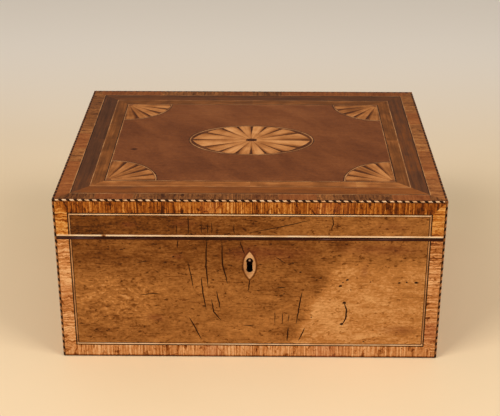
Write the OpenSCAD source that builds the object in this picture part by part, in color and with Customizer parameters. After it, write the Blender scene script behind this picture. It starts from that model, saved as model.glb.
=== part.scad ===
// Veneered table box for knives, with inlaid fans, a hinged lid and a box lock.
// The origin is under the middle of the box on the surface it stands on, +Z up, front towards -Y.

/* [Box] */
// Width of the closed box, left to right
box_w = 356; // [320:1:400]
// Depth of the closed box, front to back
box_d = 292; // [270:1:330]
// Height of the closed box with its lid
box_h = 165; // [155:1:185]
// Height of the lid, from the rim of the base to the top
lid_h = 37; // [32:0.5:44]
// Gap between the closed lid and the rim of the base
lid_seam = 0.4; // [0.3:0.05:0.6]

/* [Carcass] */
// Thickness of the boards that form the sides of the base and the lid
board_t = 10; // [10:0.5:12]
// Thickness of the top board of the lid
top_board_t = 8; // [6:0.5:10]
// Thickness of the bottom board
bottom_t = 8; // [6:0.5:10]
// Width of the rebate that the bottom board sits in
bottom_rebate = 4; // [2:0.5:6]
// Number of dovetails at each corner of the base
base_tails = 4; // [2:1:6]
// Number of dovetails at each corner of the lid
lid_tails = 1; // [1:1:2]
// Share of each dovetail's pitch that the tail takes up at its wide end
tail_share = 0.68; // [0.5:0.02:0.8]
// Slope of the sides of a dovetail, across over along
tail_slope = 0.16; // [0.1:0.01:0.2]
// Thickness of the veneers
veneer_t = 1.2; // [0.8:0.1:1.6]
// Open glue line between strips of one banding at their mitres
glue_line = 0.05; // [0.02:0.01:0.1]

/* [Edge stringing] */
// Side of the square twisted stringing let into the outer edges
rope_w = 2; // [1.8:0.1:2.6]
// Length along the stringing of one dark and one light slice
rope_pitch = 6.8; // [5:0.1:9]
// Share of the pitch that the dark slice takes up
rope_dark = 0.48; // [0.4:0.01:0.65]
// Lean of each slice across the stringing, as a share of its width
rope_lean = 1.1; // [0.5:0.1:1.4]

/* [Bandings of the top] */
// Width of the outer crossband
outer_band_w = 11.7; // [10:0.1:14]
// Width of the dark band inside it
dark_band_w = 14.7; // [12:0.1:17]
// Width of the light band inside that
inner_band_w = 11.2; // [9:0.1:13]
// Width of a dark line
dark_line_w = 0.8; // [0.6:0.1:1.2]
// Width of a light line
light_line_w = 0.8; // [0.6:0.1:1.2]

/* [Bandings of the front and sides] */
// Width of the upright crossbands
side_band_w = 10.8; // [9:0.1:14]
// Width of the crossband along the foot of the base
foot_band_w = 11.8; // [9:0.1:15]
// Width of the crossband along the top of the lid
head_band_w = 11; // [9:0.5:13]
// Width of the dark line inside those crossbands
panel_dark_w = 1.1; // [0.8:0.1:1.5]
// Width of the light line inside that
panel_light_w = 1.1; // [0.8:0.1:1.5]
// Width of the thin dark line between the light line and the field
hair_line_w = 0.7; // [0.4:0.1:1]
// Height of the black line round the rim of the base
rim_line_h = 3; // [2:0.1:4]
// Height of the light line round the lower edge of the lid
lid_line_h = 1.5; // [1:0.1:2]

/* [Oval inlay] */
// Length of the oval across its light ring
oval_l = 125; // [100:1:150]
// Width of the oval across its light ring
oval_w = 79; // [66:1:94]
// Number of petals in the oval
oval_petal_count = 16; // [12:2:20]
// Width of the light ring
ring_w = 1.5; // [1:0.1:2.5]
// Width of the dark line outside a ring or an arc
inlay_line_w = 0.7; // [0.5:0.1:1]
// Least width of the ground between the petals and a ring or an arc
ground_gap = 0.3; // [0.2:0.05:0.6]
// Depth of the scallop between two petals
scallop = 1.2; // [0.6:0.1:2]
// Width of a shaded ray at the rim
ray_w = 2.8; // [1.6:0.1:3.2]
// Distance of a ray's tip from the centre, as a share of its reach
ray_start = 0.42; // [0.3:0.02:0.6]
// Length of the oval at the centre of the petals
centre_l = 11.5; // [9:0.5:15]
// Width of the oval at the centre of the petals
centre_w = 7.5; // [6:0.5:9]

/* [Corner fans] */
// Radius of a corner fan across its light arc
fan_r = 47; // [40:1:56]
// Number of petals in a fan
fan_petal_count = 5; // [3:1:7]
// Radius at which the petals of a fan begin
fan_start = 5; // [4:0.5:8]
// Width of the light arc
arc_w = 1.2; // [0.8:0.1:2]

/* [Hinges] */
// Length of a hinge
hinge_len = 50; // [40:1:64]
// Distance from the end of the box to the middle of a hinge
hinge_inset_x = 70; // [50:1:90]
// Width of a leaf, from the pin's axis to its front edge
leaf_w = 7.6; // [7:0.1:8]
// Thickness of a leaf
leaf_t = 1.4; // [1.2:0.1:1.8]
// Outer radius of the knuckles
knuckle_r = 3; // [2.6:0.1:3.4]
// Number of knuckles on a hinge
knuckle_count = 5; // [3:2:7]
// Radius of the hinge pin
pin_r = 1.25; // [1:0.05:1.5]
// Radial clearance of the pin in the knuckles
pin_clear = 0.05; // [0.02:0.01:0.1]
// Clearance round a knuckle
knuckle_clear = 0.3; // [0.2:0.05:0.5]
// Slope of the chamfer behind the pins that stops the lid, in degrees below and above the seam
vee_angle = 51; // [48:1:60]

/* [Screws] */
// Radius of the shank of the screws
screw_r = 1; // [0.8:0.05:1.1]
// Radius of the head of the screws
screw_head_r = 1.9; // [1.6:0.05:2]
// Length of the screws
screw_len = 8; // [6:0.5:9]
// Clearance round the shank of a screw
screw_clear = 0.02; // [0.01:0.01:0.05]
// Width of the slot in a screw's head
screw_slot_w = 0.5; // [0.4:0.05:0.7]
// Depth of that slot
screw_slot_d = 0.4; // [0.3:0.05:0.6]
// Number of screws in a hinge leaf
hinge_screw_count = 3; // [2:1:4]

/* [Lock] */
// Width of the lock's plate
lock_plate_w = 72; // [68:1:84]
// Height of the lock's plate
lock_plate_h = 40; // [39:0.5:46]
// Thickness of the plates and of the selvedge
lock_plate_t = 1.4; // [1.2:0.1:1.6]
// Width of the lock's case
lock_case_w = 56; // [54:1:60]
// Depth of the case behind the plate
lock_case_d = 6.6; // [6.4:0.1:6.8]
// Thickness of the case's walls
lock_wall = 1; // [0.8:0.1:1.2]
// Distance of each staple from the middle of the lock
staple_x = 16; // [15:0.25:16.5]
// Thickness of a staple along the lock
staple_t = 2.4; // [2:0.1:3]
// Width of a staple across the lock
staple_w = 4.4; // [4.2:0.1:4.6]
// Length of a staple below the link plate
staple_l = 9; // [8.6:0.1:9.6]
// Clearance of a staple in its slot and of the bolt in a staple
staple_clear = 0.45; // [0.35:0.05:0.5]
// Travel of the bolt
bolt_travel = 5; // [4:0.5:5.5]
// Height of the bolt's bar
bolt_bar_h = 6; // [5:0.5:7]
// Clearance of the bolt in its case
bolt_clear = 0.2; // [0.1:0.05:0.3]
// Width of the link plate
link_plate_w = 60; // [56:1:66]
// Depth of the link plate
link_plate_d = 6.8; // [6.2:0.1:7.2]

/* [Keyhole] */
// Height of the escutcheon
escutcheon_h = 29; // [24:1:34]
// Width of the escutcheon
escutcheon_w = 12; // [11:0.5:15]
// Depth of the escutcheon's middle below the rim
escutcheon_drop = 29; // [27:0.5:31]
// Depth of the key pin's axis below the rim
key_drop = 24.5; // [23.5:0.5:25.5]
// Radius of the round head of the keyhole
keyhole_r = 3.3; // [2.9:0.1:3.6]
// Width of the keyhole's waist
keyhole_slot_w = 5.4; // [4:0.1:5.6]
// Radius of the round foot of the keyhole
keyhole_foot_r = 3.1; // [2.8:0.1:3.4]
// Reach of the keyhole below the key pin's axis
keyhole_slot_l = 12; // [11:0.1:12.4]
// Radius of the key pin
key_pin_r = 1.4; // [1.1:0.1:1.6]

/* [Inside] */
// Thickness of the baize under the box
baize_t = 1; // [0.8:0.1:1.5]
// Distance of that baize from the edges of the box
baize_inset = 1.5; // [1:0.5:3]
// Thickness of the cloth linings
lining_t = 0.8; // [0.6:0.1:1.2]
// Bare wood left below the rim above the wall lining
lining_drop = 5; // [4:0.5:10]
// Clear width of the well along the front
well_w = 68; // [50:1:90]
// Thickness of the long divider
divider_t = 6; // [4:0.5:8]
// Height of the divider and of the racks
rack_h = 60; // [50:1:80]
// Thickness of the racks
rack_t = 10; // [8:0.5:14]
// Number of knives in the racks
knife_count = 12; // [8:1:12]
// Distance of the handle rack from the middle, to the right
handle_rack_x = 88; // [70:1:110]
// Distance of the blade rack from the middle, to the left
blade_rack_x = 78; // [60:1:110]
// Width of a handle's notch
handle_notch_w = 12; // [10:0.5:12.5]
// Depth of a handle's notch
handle_notch_d = 22; // [18:1:30]
// Width of a blade's slot
blade_slot_w = 3.4; // [2.4:0.1:3.8]
// Depth of a blade's slot
blade_slot_d = 26; // [20:1:34]

/* [Hidden] */

over = 1;            // how far a cut runs past the face it opens
bore_fn = 32;        // facets of a drawn bore, shank or pin
arc_fn = 96;         // facets of a drawn arc or large circle

// Outer half sizes and heights
hx = box_w / 2;
hy = box_d / 2;
base_top = box_h - lid_h;
lid_bottom = base_top + lid_seam;
top_z = box_h - veneer_t;

// The carcass under the veneers
carcass_x = hx - veneer_t;
carcass_y = hy - veneer_t;
inner_x = carcass_x - board_t;
inner_y = carcass_y - board_t;
rail_top = top_z - top_board_t;
floor_z = baize_t + bottom_t;

// Bandings of the top, each as its distance from the edge
outer_end = rope_w + outer_band_w;
outer_light_end = outer_end + light_line_w;
dark_start = outer_light_end + dark_line_w;
dark_end = dark_start + dark_band_w;
inner_start = dark_end + light_line_w;
inner_end = inner_start + inner_band_w;
field_dark_end = inner_end + dark_line_w;
field_start = field_dark_end + light_line_w;
field_x = hx - field_start;
field_y = hy - field_start;

// Bandings of the front and sides, as distances from the upright edges
side_band_end = rope_w + side_band_w;
string_a = panel_dark_w;
string_b = string_a + panel_light_w;
string_c = string_b + hair_line_w;
rope_head = box_h - rope_w;
head_band_end = rope_w + head_band_w;

// The oval and the fans
oval_a = oval_l / 2;
oval_b = oval_w / 2;
centre_a = centre_l / 2;
centre_b = centre_w / 2;
oval_step = 360 / oval_petal_count;
petal_points = 6;
ring_points = 8 * oval_petal_count;
fan_step = 90 / fan_petal_count;
fan_inner_r = fan_r - arc_w;
fan_reach = fan_inner_r - ground_gap;

// Hinges
axis_y = hy - knuckle_r;
axis_z = base_top + lid_seam / 2;
hinge_x = hx - hinge_inset_x;
knuckle_len = hinge_len / knuckle_count;
end_play = 0.1;
notch_r = knuckle_r + knuckle_clear;
hinge_screw_y = axis_y - knuckle_r - (leaf_w - knuckle_r) / 2;

// Screws
screw_head_h = min(leaf_t, lock_plate_t);

// Plate and case of the lock
selvedge_lip = 0.6;
case_margin = 1;
lock_in_y = -inner_y;
case_back_y = lock_in_y - lock_plate_t;
case_front_y = case_back_y - lock_case_d;
lock_mid_y = case_back_y - (lock_case_d - lock_wall) / 2;
selvedge_end_y = case_front_y - selvedge_lip;
selvedge_z = base_top - lock_plate_t;
lock_foot_z = base_top - lock_plate_h;
case_foot_z = lock_foot_z + case_margin;
key_z = base_top - key_drop;
key_pin_set = 0.6;
keyhole_end_y = case_front_y + lock_wall + over / 2;
lock_screw_x = (lock_case_w + lock_plate_w) / 4;

// Staples of the link plate
eye_web = 0.9;
eye_h = 3.4;
eye_w = staple_w - 2 * eye_web;
staple_foot_z = lid_bottom - staple_l;
eye_z = staple_foot_z + eye_web;

// Bolt: each arm reaches from the end of its prong out to where the bar ends
bar_gap = 0.8;
bar_top_z = staple_foot_z - bar_gap;
bar_foot_z = bar_top_z - bolt_bar_h;
bolt_end_gap = 0.5;
bar_reach = lock_case_w / 2 - lock_wall - bolt_end_gap;
bolt_t = lock_case_d - lock_wall - 2 * bolt_clear;
prong_gap = 0.6;
prong_len = bolt_travel + staple_clear;
prong_z = eye_z + staple_clear;
prong_h = eye_h - 2 * staple_clear;
prong_t = eye_w - 2 * staple_clear;
arm_w = bar_reach - staple_x - staple_t / 2 - prong_gap - prong_len;
stud_r = 1.5;
stud_z = (bar_top_z + bar_foot_z) / 2;
talon_w = 8;
talon_h = 3.2;

// Spring
spring_r = 20;
spring_t = 0.6;
spring_half = 9;
spring_side = 0.5;
spring_gap = 0.3;
spring_w = bolt_t - 2 * spring_side;
spring_drop = spring_r - sqrt(spring_r * spring_r - spring_half * spring_half) + spring_t;
hump_half = 10;
hump_top_z = selvedge_z - spring_drop - spring_gap;

// Inside
lined_x = inner_x - lining_t;
lined_y = inner_y - lining_t;
lined_floor = floor_z + lining_t;
divider_y = -lined_y + well_w;
rack_y0 = divider_y + divider_t;
rack_len = lined_y - rack_y0;
rack_pitch = rack_len / knife_count;

PINE = [0.72, 0.56, 0.36];
MAHOGANY = [0.42, 0.20, 0.10];
GOLDEN = [0.62, 0.38, 0.16];
BANDING = [0.78, 0.51, 0.22];
BAIZE = [0.16, 0.30, 0.17];
BOXWOOD = [0.90, 0.76, 0.50];
EBONY = [0.10, 0.07, 0.05];
BRASS = [0.72, 0.56, 0.26];
STEEL = [0.45, 0.45, 0.46];

// Helpers

module box(low, high) {
    translate(low) cube(high - low);
}

// A shape drawn in x and z, as a veneer on the front
module on_front() {
    translate([0, -carcass_y, 0]) rotate([90, 0, 0]) linear_extrude(veneer_t) children();
}

// A shape drawn in y and z, as a veneer on both sides
module on_sides() {
    for (side = [0, 1])
        mirror([side, 0, 0])
            translate([carcass_x, 0, 0]) rotate([90, 0, 90]) linear_extrude(veneer_t) children();
}

// A shape drawn in x and y, as a veneer on the top
module on_top() {
    translate([0, 0, top_z]) linear_extrude(veneer_t) children();
}

module at_corners() {
    for (sx = [0, 1])
        for (sy = [0, 1])
            mirror([sx, 0, 0]) mirror([0, sy, 0]) children();
}

// The notch behind the hinge pins, open to the back, that lets the lid turn and then stops it
module rear_vee() {
    reach = 2 * knuckle_r;
    rise = reach * tan(vee_angle);
    translate([-hx - over, axis_y, axis_z]) rotate([90, 0, 90]) linear_extrude(box_w + 2 * over)
        polygon([[0, 0], [reach, -rise], [reach, rise]]);
}

// Four mitred strips round a rectangle, between two distances from its edge
module frame_strips(half_x, half_y, e0, e1) {
    g = glue_line / 2;
    for (side = [0, 1]) {
        mirror([0, side, 0])
            polygon([[-half_x + e0 + g, -half_y + e0], [half_x - e0 - g, -half_y + e0],
                     [half_x - e1 - g, -half_y + e1], [-half_x + e1 + g, -half_y + e1]]);
        mirror([side, 0, 0])
            polygon([[-half_x + e0, -half_y + e0 + g], [-half_x + e1, -half_y + e1 + g],
                     [-half_x + e1, half_y - e1 - g], [-half_x + e0, half_y - e0 - g]]);
    }
}

// Three mitred strips round a panel that is open towards z_open: the two uprights from e0 to e1
// from the ends, and the one along z_closed from c0 to c1 from that edge.
module panel_strips(half, z_closed, z_open, e0, e1, c0, c1) {
    g = glue_line / 2;
    up = z_open > z_closed ? 1 : -1;
    for (side = [0, 1])
        mirror([side, 0])
            polygon([[half - e0, z_closed + up * (c0 + g)], [half - e0, z_open],
                     [half - e1, z_open], [half - e1, z_closed + up * (c1 + g)]]);
    polygon([[-half + e0 + g, z_closed + up * c0], [half - e0 - g, z_closed + up * c0],
             [half - e1 - g, z_closed + up * c1], [-half + e1 + g, z_closed + up * c1]]);
}

module base_strips(half, e0, e1, c0, c1) {
    panel_strips(half, baize_t, base_top - rim_line_h, e0, e1, c0, c1);
}

module lid_strips(half, e0, e1, c0, c1) {
    panel_strips(half, box_h, lid_bottom + lid_line_h, e0, e1, c0, c1);
}

// The field inside the strips of a base panel or a lid panel
module base_field(half) {
    x = half - side_band_end - string_c;
    z0 = baize_t + foot_band_w + string_c;
    translate([-x, z0]) square([2 * x, base_top - rim_line_h - z0]);
}

module lid_field(half) {
    x = half - side_band_end - string_c;
    z0 = lid_bottom + lid_line_h;
    translate([-x, z0]) square([2 * x, box_h - head_band_end - string_c - z0]);
}

// Twisted stringing

function held(x, low, high) = max(low, min(high, x));
function rope_count(len) = max(2, round(len / rope_pitch));
function rope_cut(j, len) =
    let (n = rope_count(len), last = 2 * n)
    j <= 0 ? 0 : j >= last ? len : (floor(j / 2) + (j % 2) * rope_dark) * len / n;
function rope_point(j, len, side) =
    (j <= 0 || j >= 2 * rope_count(len)) ? rope_cut(j, len)
    : held(rope_cut(j, len) - side * rope_lean * rope_w / 2, 0, len);

// The dark or the light slices of a strip that runs along +X from the origin
module rope(len, dark) {
    translate([0, rope_w, 0]) rotate([90, 0, 0]) linear_extrude(rope_w)
        for (k = [0:rope_count(len) - 1]) {
            j = dark ? 2 * k : 2 * k + 1;
            polygon([[rope_point(j, len, -1), 0], [rope_point(j + 1, len, -1), 0],
                     [rope_point(j + 1, len, 1), rope_w], [rope_point(j, len, 1), rope_w]]);
        }
}

// A strip in each upright edge between two heights
module upright_ropes(z0, z1, dark) {
    difference() {
        at_corners()
            translate([hx, -hy, z0]) rotate([0, -90, 0]) rope(z1 - z0, dark);
        rear_vee();
    }
}

// The strips in the four edges of the top
module top_ropes(dark) {
    for (side = [0, 1]) {
        mirror([0, side, 0]) translate([-hx, -hy, rope_head]) rope(box_w, dark);
        mirror([side, 0, 0])
            translate([hx, -hy + rope_w, rope_head])
                rotate([0, 0, 90]) rope(box_d - 2 * rope_w, dark);
    }
}

// The room that the stringing takes in the carcass
module rope_rebates() {
    at_corners()
        box([hx - rope_w, hy - rope_w, 0], [hx + over, hy + over, box_h + over]);
    for (side = [0, 1]) {
        mirror([0, side, 0])
            box([-hx - over, hy - rope_w, rope_head], [hx + over, hy + over, box_h + over]);
        mirror([side, 0, 0])
            box([hx - rope_w, -hy - over, rope_head], [hx + over, hy + over, box_h + over]);
    }
}

// Carcass

// The dovetails at both ends of the right-hand board, between two heights, rooted in the board
module tails(z0, z1, count) {
    pitch = (z1 - z0) / count;
    wide = pitch * tail_share / 2;
    narrow = wide - board_t * tail_slope;
    root_y = inner_y - over;
    translate([inner_x, 0, 0]) rotate([90, 0, 90]) linear_extrude(board_t)
        for (k = [0:count - 1])
            for (end = [-1, 1])
                translate([0, z0 + (k + 0.5) * pitch])
                    polygon([[end * root_y, -narrow], [end * inner_y, -narrow],
                             [end * carcass_y, -wide], [end * carcass_y, wide],
                             [end * inner_y, narrow], [end * root_y, narrow]]);
}

// A board across the front with sockets for the tails
module socket_board(z0, z1, count) {
    difference() {
        box([-carcass_x, -carcass_y, z0], [carcass_x, -inner_y, z1]);
        tails(z0, z1, count);
        mirror([1, 0, 0]) tails(z0, z1, count);
        rope_rebates();
    }
}

// A board along the right with tails
module tail_board(z0, z1, count) {
    difference() {
        union() {
            box([inner_x, -inner_y, z0], [carcass_x, inner_y, z1]);
            tails(z0, z1, count);
        }
        rope_rebates();
        rear_vee();
    }
}

module bottom_block() {
    x = inner_x + bottom_rebate;
    y = inner_y + bottom_rebate;
    box([-x, -y, baize_t], [x, y, floor_z]);
}

module bottom_board() {
    color(PINE) bottom_block();
}

module base_front_board() {
    color(PINE) difference() {
        socket_board(baize_t, base_top, base_tails);
        bottom_block();
        lock_recess();
        keyhole_cut();
        lock_screw_places() screw_hole();
    }
}

module base_back_board() {
    color(PINE) difference() {
        mirror([0, 1, 0]) socket_board(baize_t, base_top, base_tails);
        bottom_block();
        rear_vee();
        base_hinge_recess();
        base_screw_places() screw_hole();
    }
}

module base_right_board() {
    color(PINE) difference() {
        tail_board(baize_t, base_top, base_tails);
        bottom_block();
    }
}

module base_left_board() {
    mirror([1, 0, 0]) base_right_board();
}

module lid_top_board() {
    color(PINE) difference() {
        box([-carcass_x, -carcass_y, rail_top], [carcass_x, carcass_y, top_z]);
        rope_rebates();
    }
}

module lid_front_rail() {
    color(PINE) difference() {
        socket_board(lid_bottom, rail_top, lid_tails);
        link_block();
        link_screw_places() screw_hole();
    }
}

module lid_back_rail() {
    color(PINE) difference() {
        mirror([0, 1, 0]) socket_board(lid_bottom, rail_top, lid_tails);
        rear_vee();
        lid_hinge_recess();
        lid_screw_places() screw_hole();
    }
}

module lid_right_rail() {
    color(PINE) tail_board(lid_bottom, rail_top, lid_tails);
}

module lid_left_rail() {
    mirror([1, 0, 0]) lid_right_rail();
}

// Veneers, bandings and lines of the base

module base_front_veneer() {
    color(GOLDEN) difference() {
        on_front() base_field(hx);
        escutcheon_block();
    }
}

module base_side_veneers() {
    color(GOLDEN) on_sides() base_field(hy);
}

module base_back_veneer() {
    color(GOLDEN) difference() {
        box([-hx + rope_w, carcass_y, baize_t], [hx - rope_w, hy, base_top]);
        rear_vee();
        base_hinge_recess();
    }
}

module base_crossbands() {
    color(BANDING) difference() {
        union() {
            on_front() base_strips(hx, rope_w, side_band_end, 0, foot_band_w);
            on_sides() base_strips(hy, rope_w, side_band_end, 0, foot_band_w);
        }
        rear_vee();
    }
}

// Lines between two distances inside the crossbands of the base
module base_lines(half, from, to) {
    base_strips(half, side_band_end + from, side_band_end + to, foot_band_w + from, foot_band_w + to);
}

module base_light_strings() {
    color(BOXWOOD) {
        on_front() base_lines(hx, string_a, string_b);
        on_sides() base_lines(hy, string_a, string_b);
    }
}

module base_dark_strings() {
    color(EBONY) {
        on_front() base_lines(hx, 0, string_a);
        on_front() base_lines(hx, string_b, string_c);
        on_sides() base_lines(hy, 0, string_a);
        on_sides() base_lines(hy, string_b, string_c);
    }
}

module rim_line_2d(half) {
    translate([-half + rope_w, base_top - rim_line_h]) square([2 * (half - rope_w), rim_line_h]);
}

module base_rim_line() {
    color(EBONY) difference() {
        union() {
            on_front() rim_line_2d(hx);
            on_sides() rim_line_2d(hy);
        }
        rear_vee();
    }
}

module base_corner_stringing_light() {
    color(BOXWOOD) upright_ropes(baize_t, base_top, false);
}

module base_corner_stringing_dark() {
    color(EBONY) upright_ropes(baize_t, base_top, true);
}

// Veneers, bandings and lines of the lid's sides

module lid_front_veneer() {
    color(GOLDEN) on_front() lid_field(hx);
}

module lid_side_veneers() {
    color(GOLDEN) on_sides() lid_field(hy);
}

module lid_back_veneer() {
    color(GOLDEN) difference() {
        box([-hx + rope_w, carcass_y, lid_bottom], [hx - rope_w, hy, rope_head]);
        rear_vee();
        lid_hinge_recess();
    }
}

module lid_crossbands() {
    color(BANDING) difference() {
        union() {
            on_front() lid_strips(hx, rope_w, side_band_end, rope_w, head_band_end);
            on_sides() lid_strips(hy, rope_w, side_band_end, rope_w, head_band_end);
        }
        rear_vee();
    }
}

// Lines between two distances inside the crossbands of the lid
module lid_lines(half, from, to) {
    lid_strips(half, side_band_end + from, side_band_end + to, head_band_end + from, head_band_end + to);
}

module lid_edge_2d(half) {
    translate([-half + rope_w, lid_bottom]) square([2 * (half - rope_w), lid_line_h]);
}

module lid_light_strings() {
    color(BOXWOOD) difference() {
        union() {
            on_front() lid_lines(hx, string_a, string_b);
            on_sides() lid_lines(hy, string_a, string_b);
            on_front() lid_edge_2d(hx);
            on_sides() lid_edge_2d(hy);
        }
        rear_vee();
    }
}

module lid_dark_strings() {
    color(EBONY) {
        on_front() lid_lines(hx, 0, string_a);
        on_front() lid_lines(hx, string_b, string_c);
        on_sides() lid_lines(hy, 0, string_a);
        on_sides() lid_lines(hy, string_b, string_c);
    }
}

module lid_edge_stringing_light() {
    color(BOXWOOD) {
        upright_ropes(lid_bottom, rope_head, false);
        top_ropes(false);
    }
}

module lid_edge_stringing_dark() {
    color(EBONY) {
        upright_ropes(lid_bottom, rope_head, true);
        top_ropes(true);
    }
}

// Bandings and lines of the top

module top_outer_crossband() {
    color(BANDING) on_top() frame_strips(hx, hy, rope_w, outer_end);
}

module top_dark_band() {
    color(MAHOGANY) on_top() frame_strips(hx, hy, dark_start, dark_end);
}

module top_inner_band() {
    color(GOLDEN) on_top() frame_strips(hx, hy, inner_start, inner_end);
}

module top_light_strings() {
    color(BOXWOOD) on_top() {
        frame_strips(hx, hy, outer_end, outer_light_end);
        frame_strips(hx, hy, dark_end, inner_start);
        frame_strips(hx, hy, field_dark_end, field_start);
        difference() {
            oval_2d(0);
            oval_2d(-ring_w);
        }
        at_fans() quarter_ring(fan_inner_r, fan_r);
    }
}

module top_dark_strings() {
    color(EBONY) on_top() {
        frame_strips(hx, hy, outer_light_end, dark_start);
        frame_strips(hx, hy, inner_end, field_dark_end);
        difference() {
            oval_2d(inlay_line_w);
            oval_2d(0);
        }
        at_fans() quarter_ring(fan_r, fan_r + inlay_line_w);
    }
}

module top_field() {
    color(MAHOGANY) on_top() difference() {
        square([2 * field_x, 2 * field_y], center = true);
        oval_2d(inlay_line_w);
        at_fans() circle(fan_r + inlay_line_w, $fn = arc_fn);
    }
}

// The oval and its petals, drawn by angle from the centre

function along(t) = [cos(t), sin(t)];
function across(t) = [-sin(t), cos(t)];
function ellipse_r(a, b, t) = a * b / norm([b * cos(t), a * sin(t)]);

// Reach of a pointed oval made of two arcs
function lens_r(a, b, t) =
    let (r = (a * a + b * b) / (2 * b), drop = r - b, s = abs(sin(t)))
    -s * drop + sqrt(s * s * drop * drop + r * r - drop * drop);

// Reach of the petals: the ring at the sides, drawn in to the pointed oval at the ends
function petal_reach(t) =
    let (a = oval_a - ring_w - ground_gap, b = oval_b - ring_w - ground_gap)
    let (full = ellipse_r(a, b, t), lens = lens_r(a, b, t), c = abs(cos(t)))
    full - (full - lens) * c * c;

module oval_2d(grow) {
    polygon([for (k = [0:ring_points - 1])
        let (t = 360 * k / ring_points)
        ellipse_r(oval_a + grow, oval_b + grow, t) * along(t)]);
}

module centre_2d() {
    steps = oval_petal_count * petal_points;
    polygon([for (k = [0:steps - 1])
        let (t = 360 * k / steps)
        ellipse_r(centre_a, centre_b, t) * along(t)]);
}

// One edge of a petal, from the rim to the inner end: beside a ray it runs along that ray's side
function petal_edge(t, side, inner, reach, gap, ray) = [
    reach * along(t) + side * (ray ? ray_w / 2 : gap) * across(t),
    ray_start * reach * along(t) + side * gap * across(t),
    inner * along(t) + side * gap * across(t)
];

function reversed(list) = [for (k = [len(list) - 1:-1:0]) list[k]];

module oval_petal(k, gap) {
    t0 = k * oval_step;
    t1 = t0 + oval_step;
    rim = [for (j = [1:petal_points - 1])
        let (u = j / petal_points, t = t0 + u * oval_step)
        (petal_reach(t) - scallop * pow(2 * u - 1, 2)) * along(t)];
    heart = [for (j = [1:petal_points - 1])
        let (t = t0 + j / petal_points * oval_step)
        ellipse_r(centre_a, centre_b, t) * along(t)];
    start = petal_edge(t0, 1, ellipse_r(centre_a, centre_b, t0), petal_reach(t0) - scallop, gap, true);
    stop = petal_edge(t1, -1, ellipse_r(centre_a, centre_b, t1), petal_reach(t1) - scallop, gap, true);
    polygon(concat(reversed(start), rim, stop, reversed(heart)));
}

// A ray between two petals, from its tip to the ends of the scallops
module ray(t, reach) {
    polygon([ray_start * reach * along(t),
             reach * along(t) - ray_w / 2 * across(t),
             reach * along(t) + ray_w / 2 * across(t)]);
}

module oval_rays_2d() {
    for (k = [0:oval_petal_count - 1])
        ray(k * oval_step, petal_reach(k * oval_step) - scallop);
}

// The fans, drawn in the corner at the low left of the field

module at_fans() {
    for (sx = [0, 1])
        for (sy = [0, 1])
            mirror([sx, 0]) mirror([0, sy]) translate([-field_x, -field_y]) children();
}

module quarter_ring(r0, r1) {
    intersection() {
        difference() {
            circle(r1, $fn = arc_fn);
            circle(r0, $fn = arc_fn);
        }
        translate([glue_line, glue_line]) square(r1 + over);
    }
}

module fan_petal(k, gap) {
    t0 = k * fan_step;
    t1 = t0 + fan_step;
    first = k == 0;
    last = k == fan_petal_count - 1;
    rim = [for (j = [1:petal_points - 1])
        let (u = j / petal_points)
        (fan_reach - scallop * pow(2 * u - 1, 2)) * along(t0 + u * fan_step)];
    start = petal_edge(t0, 1, fan_start, fan_reach - scallop, first ? 0 : gap, !first);
    stop = petal_edge(t1, -1, fan_start, fan_reach - scallop, last ? 0 : gap, !last);
    polygon(concat(reversed(start), rim, stop));
}

module fan_rays_2d() {
    for (k = [1:fan_petal_count - 1])
        ray(k * fan_step, fan_reach - scallop);
}

module oval_petals() {
    color(BOXWOOD) on_top()
        for (k = [0:oval_petal_count - 1])
            oval_petal(k, glue_line / 2);
}

module oval_centre() {
    color(MAHOGANY) on_top() centre_2d();
}

module fan_petals() {
    color(BOXWOOD) on_top() at_fans()
        for (k = [0:fan_petal_count - 1])
            fan_petal(k, glue_line / 2);
}

module inlay_rays() {
    color(EBONY) on_top() {
        oval_rays_2d();
        at_fans() fan_rays_2d();
    }
}

// The brown ground between the petals and the rings
module inlay_ground() {
    color(MAHOGANY) on_top() {
        difference() {
            oval_2d(-ring_w);
            for (k = [0:oval_petal_count - 1])
                oval_petal(k, 0);
            oval_rays_2d();
            centre_2d();
        }
        at_fans() difference() {
            intersection() {
                circle(fan_inner_r, $fn = arc_fn);
                square(fan_inner_r + over);
            }
            for (k = [0:fan_petal_count - 1])
                fan_petal(k, 0);
            fan_rays_2d();
        }
    }
}

// Screws: each stands head up at the origin with its shank along -Z

module screw_head() {
    translate([0, 0, -screw_head_h])
        cylinder(r1 = screw_r, r2 = screw_head_r, h = screw_head_h, $fn = bore_fn);
}

module screw() {
    slot_reach = screw_head_r + over;
    difference() {
        union() {
            screw_head();
            translate([0, 0, -screw_len])
                cylinder(r = screw_r, h = screw_len - screw_head_h, $fn = bore_fn);
        }
        box([-slot_reach, -screw_slot_w / 2, -screw_slot_d], [slot_reach, screw_slot_w / 2, over]);
    }
}

// The sunk seat of a screw in a plate
module screw_seat() {
    depth = max(leaf_t, lock_plate_t) + over;
    screw_head();
    translate([0, 0, -depth]) cylinder(r = screw_r, h = depth, $fn = bore_fn);
}

// The hole for the shank in the wood
module screw_hole() {
    translate([0, 0, -screw_len - screw_clear])
        cylinder(r = screw_r + screw_clear, h = screw_len + screw_clear, $fn = bore_fn);
}

// Hinges

// The two hinges, with each child drawn from the middle of its pin
module at_hinges() {
    for (side = [-1, 1])
        translate([side * hinge_x, axis_y, axis_z]) children();
}

module rod(x0, x1, r) {
    translate([x0, 0, 0]) rotate([0, 90, 0]) cylinder(r = r, h = x1 - x0, $fn = bore_fn);
}

// The knuckles of one parity: 0 for the base, 1 for the lid
module knuckles(parity, r, play) {
    for (k = [parity:2:knuckle_count - 1]) {
        x0 = -hinge_len / 2 + k * knuckle_len;
        rod(x0 - play, x0 + knuckle_len + play, r);
    }
}

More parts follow.
